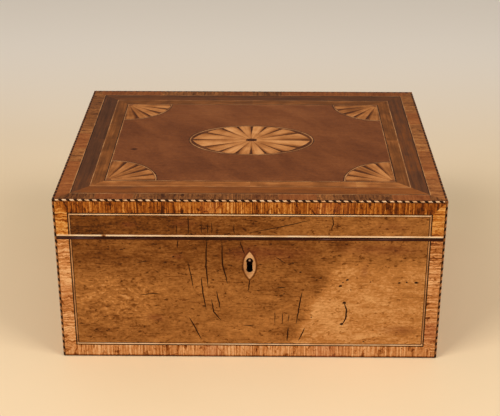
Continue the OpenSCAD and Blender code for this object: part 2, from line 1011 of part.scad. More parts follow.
// One leaf with its knuckles, on the side of the seam that up gives
module leaf(parity, up) {
    z = up * lid_seam / 2;
    difference() {
        union() {
            box([-hinge_len / 2, -leaf_w, min(z, z + up * leaf_t)],
                [hinge_len / 2, 0, max(z, z + up * leaf_t)]);
            knuckles(parity, knuckle_r, -end_play);
        }
        knuckles(1 - parity, notch_r, end_play);
        rod(-hinge_len / 2 - over, hinge_len / 2 + over, pin_r + pin_clear);
    }
}

module leaf_recess(up) {
    z = up * lid_seam / 2;
    at_hinges() {
        box([-hinge_len / 2, -leaf_w, min(z - up * over, z + up * leaf_t)],
            [hinge_len / 2, 0, max(z - up * over, z + up * leaf_t)]);
        rod(-hinge_len / 2 - knuckle_clear, hinge_len / 2 + knuckle_clear, notch_r);
    }
}

module base_hinge_recess() {
    leaf_recess(-1);
}

module lid_hinge_recess() {
    leaf_recess(1);
}

module hinge_screw_xs() {
    gap = hinge_len / hinge_screw_count;
    for (side = [-1, 1])
        for (k = [0:hinge_screw_count - 1])
            translate([side * hinge_x - hinge_len / 2 + (k + 0.5) * gap, hinge_screw_y, 0]) children();
}

module base_screw_places() {
    hinge_screw_xs() translate([0, 0, base_top]) children();
}

module lid_screw_places() {
    hinge_screw_xs() translate([0, 0, lid_bottom]) mirror([0, 0, 1]) children();
}

module hinge_base_leaves() {
    color(BRASS) difference() {
        at_hinges() leaf(0, -1);
        base_screw_places() screw_seat();
    }
}

module hinge_lid_leaves() {
    color(BRASS) difference() {
        at_hinges() leaf(1, 1);
        lid_screw_places() screw_seat();
    }
}

module hinge_pins() {
    color(STEEL) at_hinges() rod(-hinge_len / 2, hinge_len / 2, pin_r);
}

module hinge_base_screws() {
    color(BRASS) base_screw_places() screw();
}

module hinge_lid_screws() {
    color(BRASS) lid_screw_places() screw();
}

// Lock

module lock_plate_block() {
    x = lock_plate_w / 2;
    box([-x, lock_in_y - lock_plate_t, lock_foot_z], [x, lock_in_y, base_top]);
    box([-x, selvedge_end_y, selvedge_z], [x, lock_in_y, base_top]);
}

module lock_case_block() {
    x = lock_case_w / 2;
    box([-x, case_front_y, case_foot_z], [x, case_back_y, selvedge_z]);
}

module lock_recess() {
    lock_plate_block();
    lock_case_block();
}

module staple_slots() {
    x = staple_t / 2 + staple_clear;
    y = staple_w / 2 + staple_clear;
    for (side = [-1, 1])
        translate([side * staple_x, lock_mid_y, 0])
            box([-x, -y, selvedge_z - over], [x, y, base_top + over]);
}

module lock_screw_places() {
    for (side = [-1, 1])
        for (z = [lock_foot_z + lock_plate_h / 5, base_top - lock_plate_h / 4])
            translate([side * lock_screw_x, lock_in_y, z]) rotate([-90, 0, 0]) children();
}

module lock_plate() {
    color(BRASS) difference() {
        lock_plate_block();
        staple_slots();
        lock_screw_places() screw_seat();
    }
}

// The case is open to the plate behind it and to the selvedge above it, and carries the bolt's stud
module lock_case() {
    x = lock_case_w / 2 - lock_wall;
    color(BRASS) {
        difference() {
            lock_case_block();
            box([-x, case_front_y + lock_wall, case_foot_z + lock_wall],
                [x, case_back_y + over, selvedge_z + over]);
            keyhole_cut();
        }
        for (side = [-1, 1])
            translate([side * staple_x, case_front_y + lock_wall, stud_z])
                rotate([-90, 0, 0]) cylinder(r = stud_r, h = lock_case_d - lock_wall, $fn = bore_fn);
    }
}

// The bolt, drawn back: it slides towards +X and its prongs pass through the eyes of the staples
module lock_bolt() {
    y0 = lock_mid_y - bolt_t / 2;
    y1 = lock_mid_y + bolt_t / 2;
    color(STEEL) difference() {
        union() {
            box([-bar_reach, y0, bar_foot_z], [bar_reach - bolt_travel, y1, bar_top_z]);
            box([-hump_half, y0, bar_top_z - over], [hump_half - bolt_travel, y1, hump_top_z]);
            for (side = [-1, 1])
                prong(side * staple_x - staple_t / 2 - prong_gap);
        }
        box([-talon_w / 2 - bolt_travel / 2, y0 - over, bar_foot_z - over],
            [talon_w / 2 - bolt_travel / 2, y1 + over, bar_foot_z + talon_h]);
        for (side = [-1, 1])
            stud_slot(side * staple_x, y0 - over, y1 + over);
    }
}

// A prong that ends at x, and the arm that carries it
module prong(x) {
    root = x - prong_len;
    y0 = lock_mid_y - prong_t / 2;
    y1 = lock_mid_y + prong_t / 2;
    box([root - arm_w, y0, bar_top_z - over], [root, y1, prong_z + prong_h]);
    box([root - over, y0, prong_z], [x, y1, prong_z + prong_h]);
}

// The slot by which the bolt runs on a stud
module stud_slot(x, y0, y1) {
    r = stud_r + bolt_clear;
    translate([x, y0, stud_z]) rotate([-90, 0, 0]) {
        cylinder(r = r, h = y1 - y0, $fn = bore_fn);
        translate([-bolt_travel, 0, 0]) cylinder(r = r, h = y1 - y0, $fn = bore_fn);
        translate([-bolt_travel, -r, 0]) cube([bolt_travel, 2 * r, y1 - y0]);
    }
}

// A bowed leaf that bears on the bolt's back, its ends under the selvedge
module lock_spring() {
    color(STEEL)
        translate([-bolt_travel / 2, lock_mid_y + spring_w / 2, 0])
            rotate([90, 0, 0]) linear_extrude(spring_w) intersection() {
                translate([0, hump_top_z + spring_gap + spring_r]) difference() {
                    circle(spring_r, $fn = arc_fn);
                    circle(spring_r - spring_t, $fn = arc_fn);
                }
                translate([-spring_half, hump_top_z]) square([2 * spring_half, selvedge_z - hump_top_z]);
            }
}

module lock_key_pin() {
    tip_y = -carcass_y + key_pin_set;
    color(BRASS)
        translate([0, tip_y, key_z]) rotate([-90, 0, 0])
            cylinder(r = key_pin_r, h = case_back_y - tip_y, $fn = bore_fn);
}

module lock_screws() {
    color(BRASS) lock_screw_places() screw();
}

// Link plate in the lid

module link_block() {
    x = link_plate_w / 2;
    box([-x, lock_mid_y - link_plate_d / 2, lid_bottom],
        [x, lock_mid_y + link_plate_d / 2, lid_bottom + lock_plate_t]);
}

module link_screw_places() {
    for (x = [-1, 0, 1] * (staple_x + link_plate_w / 2) / 2)
        translate([x, lock_mid_y, lid_bottom]) mirror([0, 0, 1]) children();
}

module staple(x) {
    translate([x, lock_mid_y, 0]) difference() {
        box([-staple_t / 2, -staple_w / 2, staple_foot_z], [staple_t / 2, staple_w / 2, lid_bottom + over]);
        box([-staple_t, -eye_w / 2, eye_z], [staple_t, eye_w / 2, eye_z + eye_h]);
    }
}

module link_plate() {
    color(BRASS) {
        difference() {
            link_block();
            link_screw_places() screw_seat();
        }
        for (side = [-1, 1])
            staple(side * staple_x);
    }
}

module link_plate_screws() {
    color(BRASS) link_screw_places() screw();
}

// Keyhole and escutcheon

// A round head and foot with a waist between them
module keyhole_2d() {
    foot_drop = keyhole_slot_l - keyhole_foot_r;
    translate([0, key_z]) {
        circle(keyhole_r, $fn = bore_fn);
        translate([-keyhole_slot_w / 2, -foot_drop]) square([keyhole_slot_w, foot_drop]);
        translate([0, -foot_drop]) circle(keyhole_foot_r, $fn = bore_fn);
    }
}

module keyhole_cut() {
    translate([0, keyhole_end_y, 0]) rotate([90, 0, 0])
        linear_extrude(keyhole_end_y + hy + over) keyhole_2d();
}

// A pointed oval made of two arcs
module navette_2d() {
    h = escutcheon_h / 2;
    w = escutcheon_w / 2;
    r = (h * h + w * w) / (2 * w);
    translate([0, base_top - escutcheon_drop]) intersection() {
        translate([r - w, 0]) circle(r, $fn = arc_fn);
        translate([w - r, 0]) circle(r, $fn = arc_fn);
    }
}

module escutcheon_block() {
    on_front() navette_2d();
}

module escutcheon() {
    color(BOXWOOD) difference() {
        escutcheon_block();
        keyhole_cut();
    }
}

// Linings and racks

module underside_baize() {
    x = hx - baize_inset;
    y = hy - baize_inset;
    color(BAIZE) box([-x, -y, 0], [x, y, baize_t]);
}

module floor_lining() {
    color(BAIZE) box([-inner_x, -inner_y, floor_z], [inner_x, inner_y, lined_floor]);
}

module wall_lining() {
    z1 = base_top - lining_drop;
    color(BAIZE) {
        difference() {
            box([-inner_x, -inner_y, lined_floor], [inner_x, -lined_y, z1]);
            box([-lock_plate_w / 2 - over, -inner_y - over, lock_foot_z - over],
                [lock_plate_w / 2 + over, -lined_y + over, base_top]);
        }
        box([-inner_x, lined_y, lined_floor], [inner_x, inner_y, z1]);
        for (side = [0, 1])
            mirror([side, 0, 0])
                box([lined_x, -lined_y + glue_line, lined_floor], [inner_x, lined_y - glue_line, z1]);
    }
}

module lid_lining() {
    color(BAIZE) box([-inner_x, -inner_y, rail_top - lining_t], [inner_x, inner_y, rail_top]);
}

module long_divider() {
    color(MAHOGANY)
        box([-lined_x, divider_y, lined_floor], [lined_x, rack_y0, lined_floor + rack_h]);
}

// A rack board across the knife compartment, with one notch for each knife
module rack(x, notch_w, notch_d, round_end) {
    top = lined_floor + rack_h;
    translate([x - rack_t / 2, 0, 0]) rotate([90, 0, 90]) linear_extrude(rack_t) difference() {
        translate([rack_y0, lined_floor]) square([rack_len, rack_h]);
        for (k = [0:knife_count - 1])
            translate([rack_y0 + (k + 0.5) * rack_pitch, top]) {
                end_r = round_end ? notch_w / 2 : 0;
                translate([-notch_w / 2, end_r - notch_d]) square([notch_w, notch_d - end_r + over]);
                if (round_end)
                    translate([0, end_r - notch_d]) circle(end_r, $fn = bore_fn);
            }
    }
}

module handle_rack() {
    color(MAHOGANY) rack(handle_rack_x, handle_notch_w, handle_notch_d, true);
}

module blade_rack() {
    color(MAHOGANY) rack(-blade_rack_x, blade_slot_w, blade_slot_d, false);
}

underside_baize();
bottom_board();
base_front_board();
base_back_board();
base_left_board();
base_right_board();
base_front_veneer();
base_back_veneer();
base_side_veneers();
base_crossbands();
base_light_strings();
base_dark_strings();
base_rim_line();
base_corner_stringing_light();
base_corner_stringing_dark();
escutcheon();
lock_plate();
lock_case();
lock_spring();
lock_key_pin();
lock_screws();
lock_bolt();
hinge_base_leaves();
hinge_base_screws();
hinge_pins();
floor_lining();
wall_lining();
long_divider();
handle_rack();
blade_rack();
lid_top_board();
lid_front_rail();
lid_back_rail();
lid_left_rail();
lid_right_rail();
top_outer_crossband();
top_dark_band();
top_inner_band();
top_light_strings();
top_dark_strings();
top_field();
oval_petals();
oval_centre();
fan_petals();
inlay_rays();
inlay_ground();
lid_front_veneer();
lid_side_veneers();
lid_back_veneer();
lid_crossbands();
lid_light_strings();
lid_dark_strings();
lid_edge_stringing_light();
lid_edge_stringing_dark();
link_plate();
link_plate_screws();
hinge_lid_leaves();
hinge_lid_screws();
lid_lining();
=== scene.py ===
"""Looks of a veneered table box for knives: woods, inlay, metal fittings and baize, round its CAD frame."""
import math

import bmesh
import bpy
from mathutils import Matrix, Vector, noise


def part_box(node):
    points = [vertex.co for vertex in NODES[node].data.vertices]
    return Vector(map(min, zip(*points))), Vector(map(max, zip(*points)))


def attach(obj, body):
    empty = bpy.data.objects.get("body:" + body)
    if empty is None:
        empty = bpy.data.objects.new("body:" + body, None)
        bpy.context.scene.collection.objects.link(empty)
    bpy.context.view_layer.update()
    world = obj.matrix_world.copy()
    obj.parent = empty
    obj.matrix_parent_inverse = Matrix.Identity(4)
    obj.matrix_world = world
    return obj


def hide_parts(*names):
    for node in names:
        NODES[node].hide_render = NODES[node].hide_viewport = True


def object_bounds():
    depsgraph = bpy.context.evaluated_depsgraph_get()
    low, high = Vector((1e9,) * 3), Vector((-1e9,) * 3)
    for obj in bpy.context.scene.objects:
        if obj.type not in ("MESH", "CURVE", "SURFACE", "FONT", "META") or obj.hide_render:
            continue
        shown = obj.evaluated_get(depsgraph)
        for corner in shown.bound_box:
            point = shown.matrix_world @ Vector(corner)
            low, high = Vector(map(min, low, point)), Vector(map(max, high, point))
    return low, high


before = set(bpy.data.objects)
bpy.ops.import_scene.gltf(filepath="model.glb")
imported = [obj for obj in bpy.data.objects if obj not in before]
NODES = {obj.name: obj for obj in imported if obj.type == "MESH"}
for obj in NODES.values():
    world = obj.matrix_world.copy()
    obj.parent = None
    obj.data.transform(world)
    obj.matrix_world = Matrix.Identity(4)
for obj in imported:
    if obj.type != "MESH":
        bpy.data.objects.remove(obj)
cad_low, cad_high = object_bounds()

MM = 0.001

# Planes and edges of the box, from the frame
HALF_X = cad_high.x
HALF_Y = cad_high.y
TOP = cad_high.z
FRONT = -HALF_Y
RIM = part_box("base_front_board")[1].z
LID_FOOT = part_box("lid_front_rail")[0].z
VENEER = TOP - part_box("lid_top_board")[1].z
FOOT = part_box("base_crossbands")[0].z
FIELD_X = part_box("top_field")[1].x
FIELD_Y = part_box("top_field")[1].y

# Sizes that several pieces and materials share, in metres
NEAR_SIDE = 1.6 * VENEER  # a side's veneer lies within this of the outside
ROPE = 2.1 * MM  # just over the width of the twisted stringing
BOARD = 14 * MM  # more than the thickness of a board and its veneer
LINING = 0.8 * MM  # the space that one wall's baize leaves for its neighbour's
BESIDE_LOCK = 1 * MM  # between the baize and the lock plate
CRACK_SEEN = (0.12 * MM, 0.2 * MM)  # how deep in the front the wood turns as dark as a crack

# The inlay of the top
OVAL_PETALS = 16
FAN_PETALS_IN_A_TURN = 20
ROUND_OVAL = (70 * MM, 45 * MM)  # half the size of a rectangle round the oval, clear of the fans
FAN_HUB = 8 * MM


# Node graphs


def srgb(red, green, blue):
    """A colour given as a screen shows it, 0 to 255, as the light it stands for."""
    def light(c):
        c /= 255
        return c / 12.92 if c <= 0.04045 else ((c + 0.055) / 1.055) ** 2.4
    return (light(red), light(green), light(blue), 1)


class Value:
    """A number worked out at each point of a surface. Arithmetic on it adds nodes."""

    def __init__(self, graph, socket):
        self.graph = graph
        self.socket = socket

    def __add__(self, other):
        return self.graph.math("ADD", self, other)

    def __sub__(self, other):
        return self.graph.math("SUBTRACT", self, other)

    def __rsub__(self, other):
        return self.graph.math("SUBTRACT", other, self)

    def __mul__(self, other):
        return self.graph.math("MULTIPLY", self, other)

    def __truediv__(self, other):
        return self.graph.math("DIVIDE", self, other)

    __radd__ = __add__
    __rmul__ = __mul__


class Graph:
    """The nodes of one material. Places are in metres, in the frame's axes."""

    def __init__(self, name):
        self.material = bpy.data.materials.new(name)
        self.material.use_nodes = True
        tree = self.material.node_tree
        self.nodes = tree.nodes
        self.links = tree.links
        self.shader = tree.nodes["Principled BSDF"]
        self.place = self.add("ShaderNodeTexCoord").outputs["Object"]
        parts = self.add("ShaderNodeSeparateXYZ", Vector=self.place).outputs
        self.x, self.y, self.z = (Value(self, s) for s in parts)

    def add(self, kind, settings=None, **inputs):
        """A new node with its settings, and each input a value or a link from another node."""
        node = self.nodes.new(kind)
        for key, value in (settings or {}).items():
            setattr(node, key, value)
        for key, value in inputs.items():
            self.give(node.inputs[key.replace("_", " ")], value)
        return node

    def give(self, socket, value):
        value = value.socket if isinstance(value, Value) else value
        if isinstance(value, bpy.types.NodeSocket):
            self.links.new(value, socket)
        else:
            socket.default_value = value

    def math(self, operation, *values):
        node = self.add("ShaderNodeMath", {"operation": operation})
        for socket, value in zip(node.inputs, values):
            self.give(socket, value)
        return Value(self, node.outputs[0])

    def size(self, value):
        return self.math("ABSOLUTE", value)

    def least(self, a, b):
        return self.math("MINIMUM", a, b)

    def less(self, a, b):
        return self.math("LESS_THAN", a, b)

    def join(self, x, y, z):
        return self.add("ShaderNodeCombineXYZ", X=x, Y=y, Z=z).outputs[0]

    def either(self, chosen, yes, no):
        """yes where chosen is 1, no where it is 0."""
        return no + (yes - no) * chosen

    def step(self, value, low, high):
        """0 at low and 1 at high, smooth between them. Low may be the larger."""
        up = low < high
        node = self.add("ShaderNodeMapRange", {"interpolation_type": "SMOOTHSTEP"}, Value=value,
                        From_Min=low if up else high, From_Max=high if up else low,
                        To_Min=0.0 if up else 1.0, To_Max=1.0 if up else 0.0)
        return Value(self, node.outputs[0])

    def noise(self, vector, detail=2.0, roughness=0.5, distortion=0.0):
        """Noise whose features are as large as the unit of the vector."""
        node = self.add("ShaderNodeTexNoise", Vector=vector, Scale=1.0, Detail=detail,
                        Roughness=roughness, Distortion=distortion)
        return Value(self, node.outputs["Fac"])

    def full(self, noise):
        """Spreads noise, which keeps to the middle, over 0 to 1."""
        return self.step(noise, 0.3, 0.7)

    def cloud(self, per_metre, detail=2.0, seed=0.0):
        """Noise with the same scale every way, in features per metre."""
        f = per_metre
        return self.noise(self.join(self.x * f + seed, self.y * f, self.z * f), detail)

    def chance(self, *values):
        """A random number for each whole number or set of whole numbers."""
        values = list(values) + [0.0] * (3 - len(values))
        node = self.add("ShaderNodeTexWhiteNoise", Vector=self.join(*values))
        return Value(self, node.outputs["Value"])

    def spot(self, a, b, centre, radii):
        """1 at the centre of an ellipse in the two coordinates, 0 at its rim."""
        da = (a - centre[0]) / radii[0]
        db = (b - centre[1]) / radii[1]
        return self.step(self.math("SQRT", da * da + db * db), 1, 0)

    def colours(self, value, *stops):
        """The colour at a value between stops, each a position and a colour."""
        node = self.add("ShaderNodeValToRGB", Fac=value)
        elements = node.color_ramp.elements
        elements[0].position, elements[0].color = stops[0]
        elements[1].position, elements[1].color = stops[-1]
        for position, colour in stops[1:-1]:
            elements.new(position).color = colour
        return node.outputs["Color"]

    def mix(self, share, a, b):
        """Colour a where share is 0 and b where it is 1."""
        node = self.add("ShaderNodeMix", {"data_type": "RGBA"})
        for socket, value in zip((node.inputs[0], node.inputs[6], node.inputs[7]), (share, a, b)):
            self.give(socket, value)
        return node.outputs[2]

    def finish(self, colour, roughness, height=None, depth=0.0001, **fixed):
        """Sets the shader. Height, 0 to 1, raises the surface by depth metres."""
        self.give(self.shader.inputs["Base Color"], colour)
        self.give(self.shader.inputs["Roughness"], roughness)
        for key, value in fixed.items():
            self.give(self.shader.inputs[key.replace("_", " ")], value)
        if height is not None:
            bump = self.add("ShaderNodeBump", Distance=depth, Height=height)
            self.give(self.shader.inputs["Normal"], bump.outputs[0])
        return self.material


# Woods

POLISH = {"Coat_Weight": 0.03, "Coat_Roughness": 0.15, "Specular_IOR_Level": 0.2,
          "Specular_Tint": (1, 0.62, 0.36, 1)}


class Grain:
    """Fields of a piece of wood, each 0 to 1, from its grain's own coordinates in metres."""

    def __init__(self, g, along, across, depth=0.0, seed=0.0):
        if not isinstance(depth, Value):
            depth = g.z * 0 + depth

        def field(per_along, per_across, detail, distortion=0.0):
            vector = g.join(along * per_along, across * per_across, depth * per_across + seed)
            return g.full(g.noise(vector, detail, 0.6, distortion))
        self.fibre = field(40, 1100, 3)
        self.streak = field(12, 330, 3)
        self.band = field(4, 60, 2)
        self.fleck = field(150, 620, 4, 0.2)
        self.speckle = field(330, 520, 3, 0.3)
        self.mottle = field(48, 105, 3, 0.9)
        self.curl = field(105, 150, 4, 1.6)
        self.dash = g.step(field(62, 560, 2), 0.92, 1.0)
        self.pore = g.step(field(150, 2300, 1), 0.75, 0.95)


POLISH_RELIEF = 0.35 * MM


def satin(g, colour, grain, rough=0.38, wave=0.35):
    """Old polish: fine fibres, sunk pores, a slightly uneven ground and worn, duller patches."""
    uneven = g.cloud(38, 1.0, 3.1)
    worn = g.cloud(16, 3.0, 8.7)
    height = uneven * wave + grain.fibre * 0.05 - grain.pore * 0.08 + grain.fleck * 0.05
    roughness = worn * 0.24 + grain.fleck * 0.06 + (rough - 0.15)
    return g.finish(colour, roughness, height, POLISH_RELIEF, **POLISH)


def swing(value, reach):
    """Shifts a tone by up to half of reach either way."""
    return (value - 0.5) * reach


GOLDEN = (
    (0.00, srgb(60, 27, 7)),
    (0.25, srgb(112, 61, 18)),
    (0.50, srgb(153, 96, 43)),
    (0.75, srgb(188, 124, 62)),
    (1.00, srgb(222, 164, 102)),
)
DARK_CRACK = srgb(48, 19, 5)


def escutcheon_depth(g):
    """Distance inside the outline of the escutcheon, negative outside it."""
    low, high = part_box("escutcheon")
    h, w = (high.z - low.z) / 2, (high.x - low.x) / 2
    radius = (h * h + w * w) / (2 * w)
    across = g.size(g.x) + (radius - w)
    up = g.z - (low.z + high.z) / 2
    return radius - g.math("SQRT", across * across + up * up)


def figured(g, tone, grain, curly):
    """Adds the mottle, the curl and the small dark dashes of golden veneer to a tone."""
    tone = tone + swing(grain.mottle, 0.16) + swing(grain.speckle, 0.2) + swing(grain.fleck, 0.08)
    tone = tone + swing(grain.fibre, 0.06) + (grain.curl - 0.5) * curly
    return tone - grain.dash * 0.18 - grain.pore * 0.05


# Blotches of the front: x, z, half width and half height in millimetres, and strength.
# The first table darkens, or lightens where strength is below 0, and the others redden.
BASE_BLOTCHES = (
    (-150, 100, 60, 46, 0.08), (-45, 112, 55, 22, 0.04), (-140, 26, 34, 12, 0.1), (-127, 44, 5, 5, 0.3),
    (63, 86, 18, 12, 0.14), (145, 30, 24, 8, 0.18), (36, 30, 22, 16, 0.12), (-42, 32, 22, 22, -0.06),
    (140, 114, 66, 20, 0.2), (20, 98, 34, 22, -0.1),
)
BASE_REDS = (
    (-88, 43, 15, 6, 0.35), (-67, 108, 10, 4, 0.3), (106, 93, 5, 14, 0.3), (140, 31, 26, 8, 0.3),
    (20, 112, 60, 12, 0.3), (120, 116, 60, 10, 0.3), (0, 110, 30, 14, 0.25),
)
LID_REDS = ((-110, 140, 12, 5, 0.3), (-60, 142, 20, 6, 0.2), (130, 140, 30, 8, 0.2))
REDDISH = srgb(122, 58, 34)


def front_field(name, tone_of, reds):
    """Figured golden veneer with its grain lying along the front, and reddish blotches."""
    g = Graph(name)
    slope = g.noise(g.join(g.x * 7, g.z * 7, 3.0), 1.0) * 12 * MM
    grain = Grain(g, g.x, g.z + slope, g.y, 4.0)
    broad = g.full(g.noise(g.join(g.x * 13, g.z * 30, 7.5), 3.0, 0.55, 0.4))
    specks = g.step(g.noise(g.join(g.x * 230, g.z * 380, 2.5), 2.0), 0.61, 0.7)
    lines = g.step(g.noise(g.join(g.x * 26, g.z * 700, 9.5), 2.0), 0.6, 0.7)
    tone, curly = tone_of(g)
    tone = figured(g, tone + swing(broad, 0.18), grain, curly) - specks * 0.32 - lines * 0.12 + 0.02
    dirt_ring = g.step(g.size(escutcheon_depth(g) + 0.7 * MM), 1 * MM, 0.2 * MM)
    tone = tone - dirt_ring * 0.28
    colour = g.colours(tone, *GOLDEN)
    for red in reds:
        colour = g.mix(stain(g, *red), colour, REDDISH)
    colour = g.mix(g.step(g.y - FRONT, *CRACK_SEEN), colour, DARK_CRACK)
    return satin(g, colour, grain)


def stain(g, x, z, wide, tall, strength):
    """A blotch with a ragged rim on the front, given in millimetres."""
    ragged = g.noise(g.join(g.x * 130, g.z * 190, x), 3.0) * 0.9 + 0.1
    return g.spot(g.x, g.z, (x * MM, z * MM), (wide * MM, tall * MM)) * ragged * (2 * strength)


def base_front_tone(g):
    """Darker along the rim and lighter to the right of a slanting edge, partly the veneer's own colour and
    partly painted light and shade; curly at the left.
    """
    waver = swing(g.noise(g.join(g.x * 30, g.z * 30, 6.0), 2.0), 14 * MM)
    slant = g.x - (g.z - 18 * MM) * 0.5 + waver
    right = g.step(slant, 34 * MM, 46 * MM)
    high = g.step(g.z + waver, 70 * MM, 122 * MM)
    left = g.spot(g.x, g.z, (-122 * MM, 60 * MM), (70 * MM, 55 * MM))
    tone = 0.53 + right * 0.27 - high * 0.22 + left * 0.12
    for blotch in BASE_BLOTCHES:
        tone = tone - stain(g, *blotch)
    return tone, left * 0.46 + 0.08


def lid_front_tone(g):
    """Dark at the left and more golden to the right."""
    tone = 0.21 + g.step(g.x, -120 * MM, 10 * MM) * 0.2 + g.step(g.x, 30 * MM, 120 * MM) * 0.1
    return tone, 0.1


def is_side(g):
    """1 on the veneers of the left and the right, 0 on those of the front and the back."""
    return g.less(HALF_X - NEAR_SIDE, g.size(g.x))


def side_veneer(name):
    """The sides and the back, calmer than the front."""
    g = Graph(name)
    on_side = is_side(g)
    along = g.either(on_side, g.y, g.x)
    depth = g.either(on_side, g.x, g.y)
    slope = g.noise(g.join(along * 5, g.z * 5, depth * 5), 1.0) * 14 * MM
    grain = Grain(g, along, g.z + slope, depth, 11.0)
    broad = g.full(g.noise(g.join(along * 9, g.z * 26, depth * 3), 3.0, 0.55, 0.5))
    tone = figured(g, 0.44 + swing(broad, 0.3) + swing(grain.band, 0.1), grain, 0.12)
    return satin(g, g.colours(tone, *GOLDEN), grain, 0.4)


def face_edges(g):
    """On an upright face: distance from its upright edges, from its level edges, and if it is a side."""
    on_side = is_side(g)
    edge = g.either(on_side, HALF_Y - g.size(g.y), HALF_X - g.size(g.x))
    return edge, g.least(g.z - FOOT, TOP - g.z), on_side


def strip_place(g, edge_a, edge_b, line_a, line_b):
    """For mitred strips: distance in from the nearer edge, place along it, and if that edge is a."""
    first = g.less(edge_a, edge_b)
    return g.least(edge_a, edge_b), g.either(first, line_a, line_b), first


def top_place(g):
    """The same for the strips round the top."""
    return strip_place(g, HALF_X - g.size(g.x), HALF_Y - g.size(g.y), g.y, g.x)


def strip_number(g, first):
    """A number for each strip of a band, so that no two have the same grain."""
    return g.less(0.0, g.x) * 3 + g.less(0.0, g.y) * 5 + first * 7


def segments(g, line, strip, length):
    """A random shade for each of the short lengths of veneer that a banding is made of."""
    count = g.math("FLOOR", line / length + strip * 0.37)
    return g.chance(count, strip)


CROSSBAND = (
    (0.00, srgb(92, 40, 10)),
    (0.25, srgb(144, 78, 26)),
    (0.50, srgb(190, 122, 64)),
    (0.75, srgb(214, 148, 90)),
    (1.00, srgb(238, 186, 130)),
)
LID_CROSSBAND = (
    (0.00, srgb(60, 22, 4)),
    (0.25, srgb(108, 48, 7)),
    (0.50, srgb(158, 84, 20)),
    (0.75, srgb(198, 122, 44)),
    (1.00, srgb(230, 168, 92)),
)
TOP_CROSSBAND = (
    (0.00, srgb(58, 27, 9)),
    (0.25, srgb(92, 50, 20)),
    (0.50, srgb(124, 74, 35)),
    (0.75, srgb(154, 93, 45)),
    (1.00, srgb(190, 130, 72)),
)


def cross_grain(g, inward, line, which, tone, curl, contrast=1.0):
    """Grain across a strip: close dark streaks from edge to edge, wavering by curl metres."""
    wander = swing(g.noise(g.join(inward * 150, line * 110, which), 3.0, 0.6), 1.0) * curl
    place = line + wander
    grain = Grain(g, inward, place, 0.0, which)
    hair = g.full(g.noise(g.join(inward * 30, place * 850, which + 2), 2.0, 0.6))
    streak = g.full(g.noise(g.join(inward * 22, place * 330, which + 4), 3.0, 0.6))
    dark = g.step(g.noise(g.join(inward * 130, place * 190, which + 9), 4.0, 0.65, 0.6), 0.54, 0.68)
    broad = g.full(g.noise(g.join(inward * 12, place * 30, which + 5), 2.0))
    figure = swing(broad, 0.22) + swing(streak, 0.3) + swing(hair, 0.36) - dark * 0.34 + 0.07
    return tone + (figure + swing(grain.speckle, 0.16)) * contrast, grain


def curl_of(g, first):
    """Nearly straight grain, but for the curly upright strip at the front left."""
    return (1 + first * 2.5 + first * g.less(g.x, 0.0) * 4) * MM


STRONG_FIGURE = 1.55


def upright_crossband(name, stops, tone_of, rosy):
    """The crossbands of the front, the sides and the back."""
    g = Graph(name)
    edge, level, on_side = face_edges(g)
    inward, line, first = strip_place(g, edge, level, g.z, g.either(on_side, g.y, g.x))
    which = strip_number(g, first) + on_side * 14
    tone, grain = cross_grain(g, inward, line, which, tone_of(g, first), curl_of(g, first), STRONG_FIGURE)
    tone = tone + swing(segments(g, line, which, 61 * MM), 0.1)
    colour = g.colours(tone, *stops)
    red = g.step(g.noise(g.join(line * 20, which, 2.0), 1.0), 0.52, 0.7) * rosy
    colour = g.mix(red, colour, srgb(168, 92, 66))
    return satin(g, colour, grain)


def foot_tone(g, first):
    """A little darker up the ends, and dark along the very bottom: dirt and a painted contact shadow."""
    right = g.step(g.x, 0.0, 170 * MM)
    # Dirt and a painted contact shadow along the very bottom.
    dirt = g.step(g.z - FOOT, 1.9 * MM, 0.5 * MM)
    return 0.58 - first * (0.05 + right * 0.01) - dirt * 0.6


def lid_tone(g, first):
    """Lighter up the ends, and in the middle of the head band."""
    middle = g.step(g.size(g.x + 20 * MM), 150 * MM, 20 * MM)
    return 0.33 + middle * (1 - first) * 0.14 + first * 0.36


def top_crossband():
    """The outer band of the top, browner, and darkest along the front and the back."""
    g = Graph("crossband_top")
    inward, line, first = top_place(g)
    which = strip_number(g, first)
    tone = 0.48 + first * g.step(g.x, 0.0, 10 * MM) * 0.07 - (1 - first) * 0.12
    tone, grain = cross_grain(g, inward, line, which, tone, 4 * MM)
    tone = tone + swing(segments(g, line, which, 43 * MM), 0.24) + swing(grain.curl, 0.14)
    red = g.step(segments(g, line, which + 3, 34 * MM), 0.6, 0.75) * 0.45
    colour = g.mix(red, g.colours(tone, *TOP_CROSSBAND), srgb(146, 74, 30))
    return satin(g, colour, grain)


TOP_BROWN = (
    (0.00, srgb(56, 26, 11)),
    (0.25, srgb(94, 48, 22)),
    (0.50, srgb(120, 66, 32)),
    (0.75, srgb(142, 84, 44)),
    (1.00, srgb(172, 112, 64)),
)


def mahogany_top():
    """The field of the top: reddish brown with soft, slanting clouds."""
    g = Graph("top_mahogany")
    drift = g.noise(g.join(g.x * 6, g.y * 6, 2.0), 1.0) * 30 * MM
    grain = Grain(g, g.x, g.y + drift, g.z, 21.0)
    cloud = g.full(g.noise(g.join((g.x + g.y * 0.8) * 30, (g.y - g.x * 0.5) * 15, 5.0), 3.0, 0.6, 0.4))
    soft = g.full(g.cloud(9, 2.0, 14.0))
    tone = 0.49 + swing(cloud, 0.18) + swing(soft, 0.2)
    tone = tone + swing(grain.speckle, 0.12) + swing(grain.fibre, 0.1)
    dark_spot = g.spot(g.x, g.y, (-116 * MM, -26 * MM), (5 * MM, 3.5 * MM))
    tone = tone - grain.pore * 0.1 - dark_spot * 0.6
    return satin(g, g.colours(tone, *TOP_BROWN), grain, 0.4)


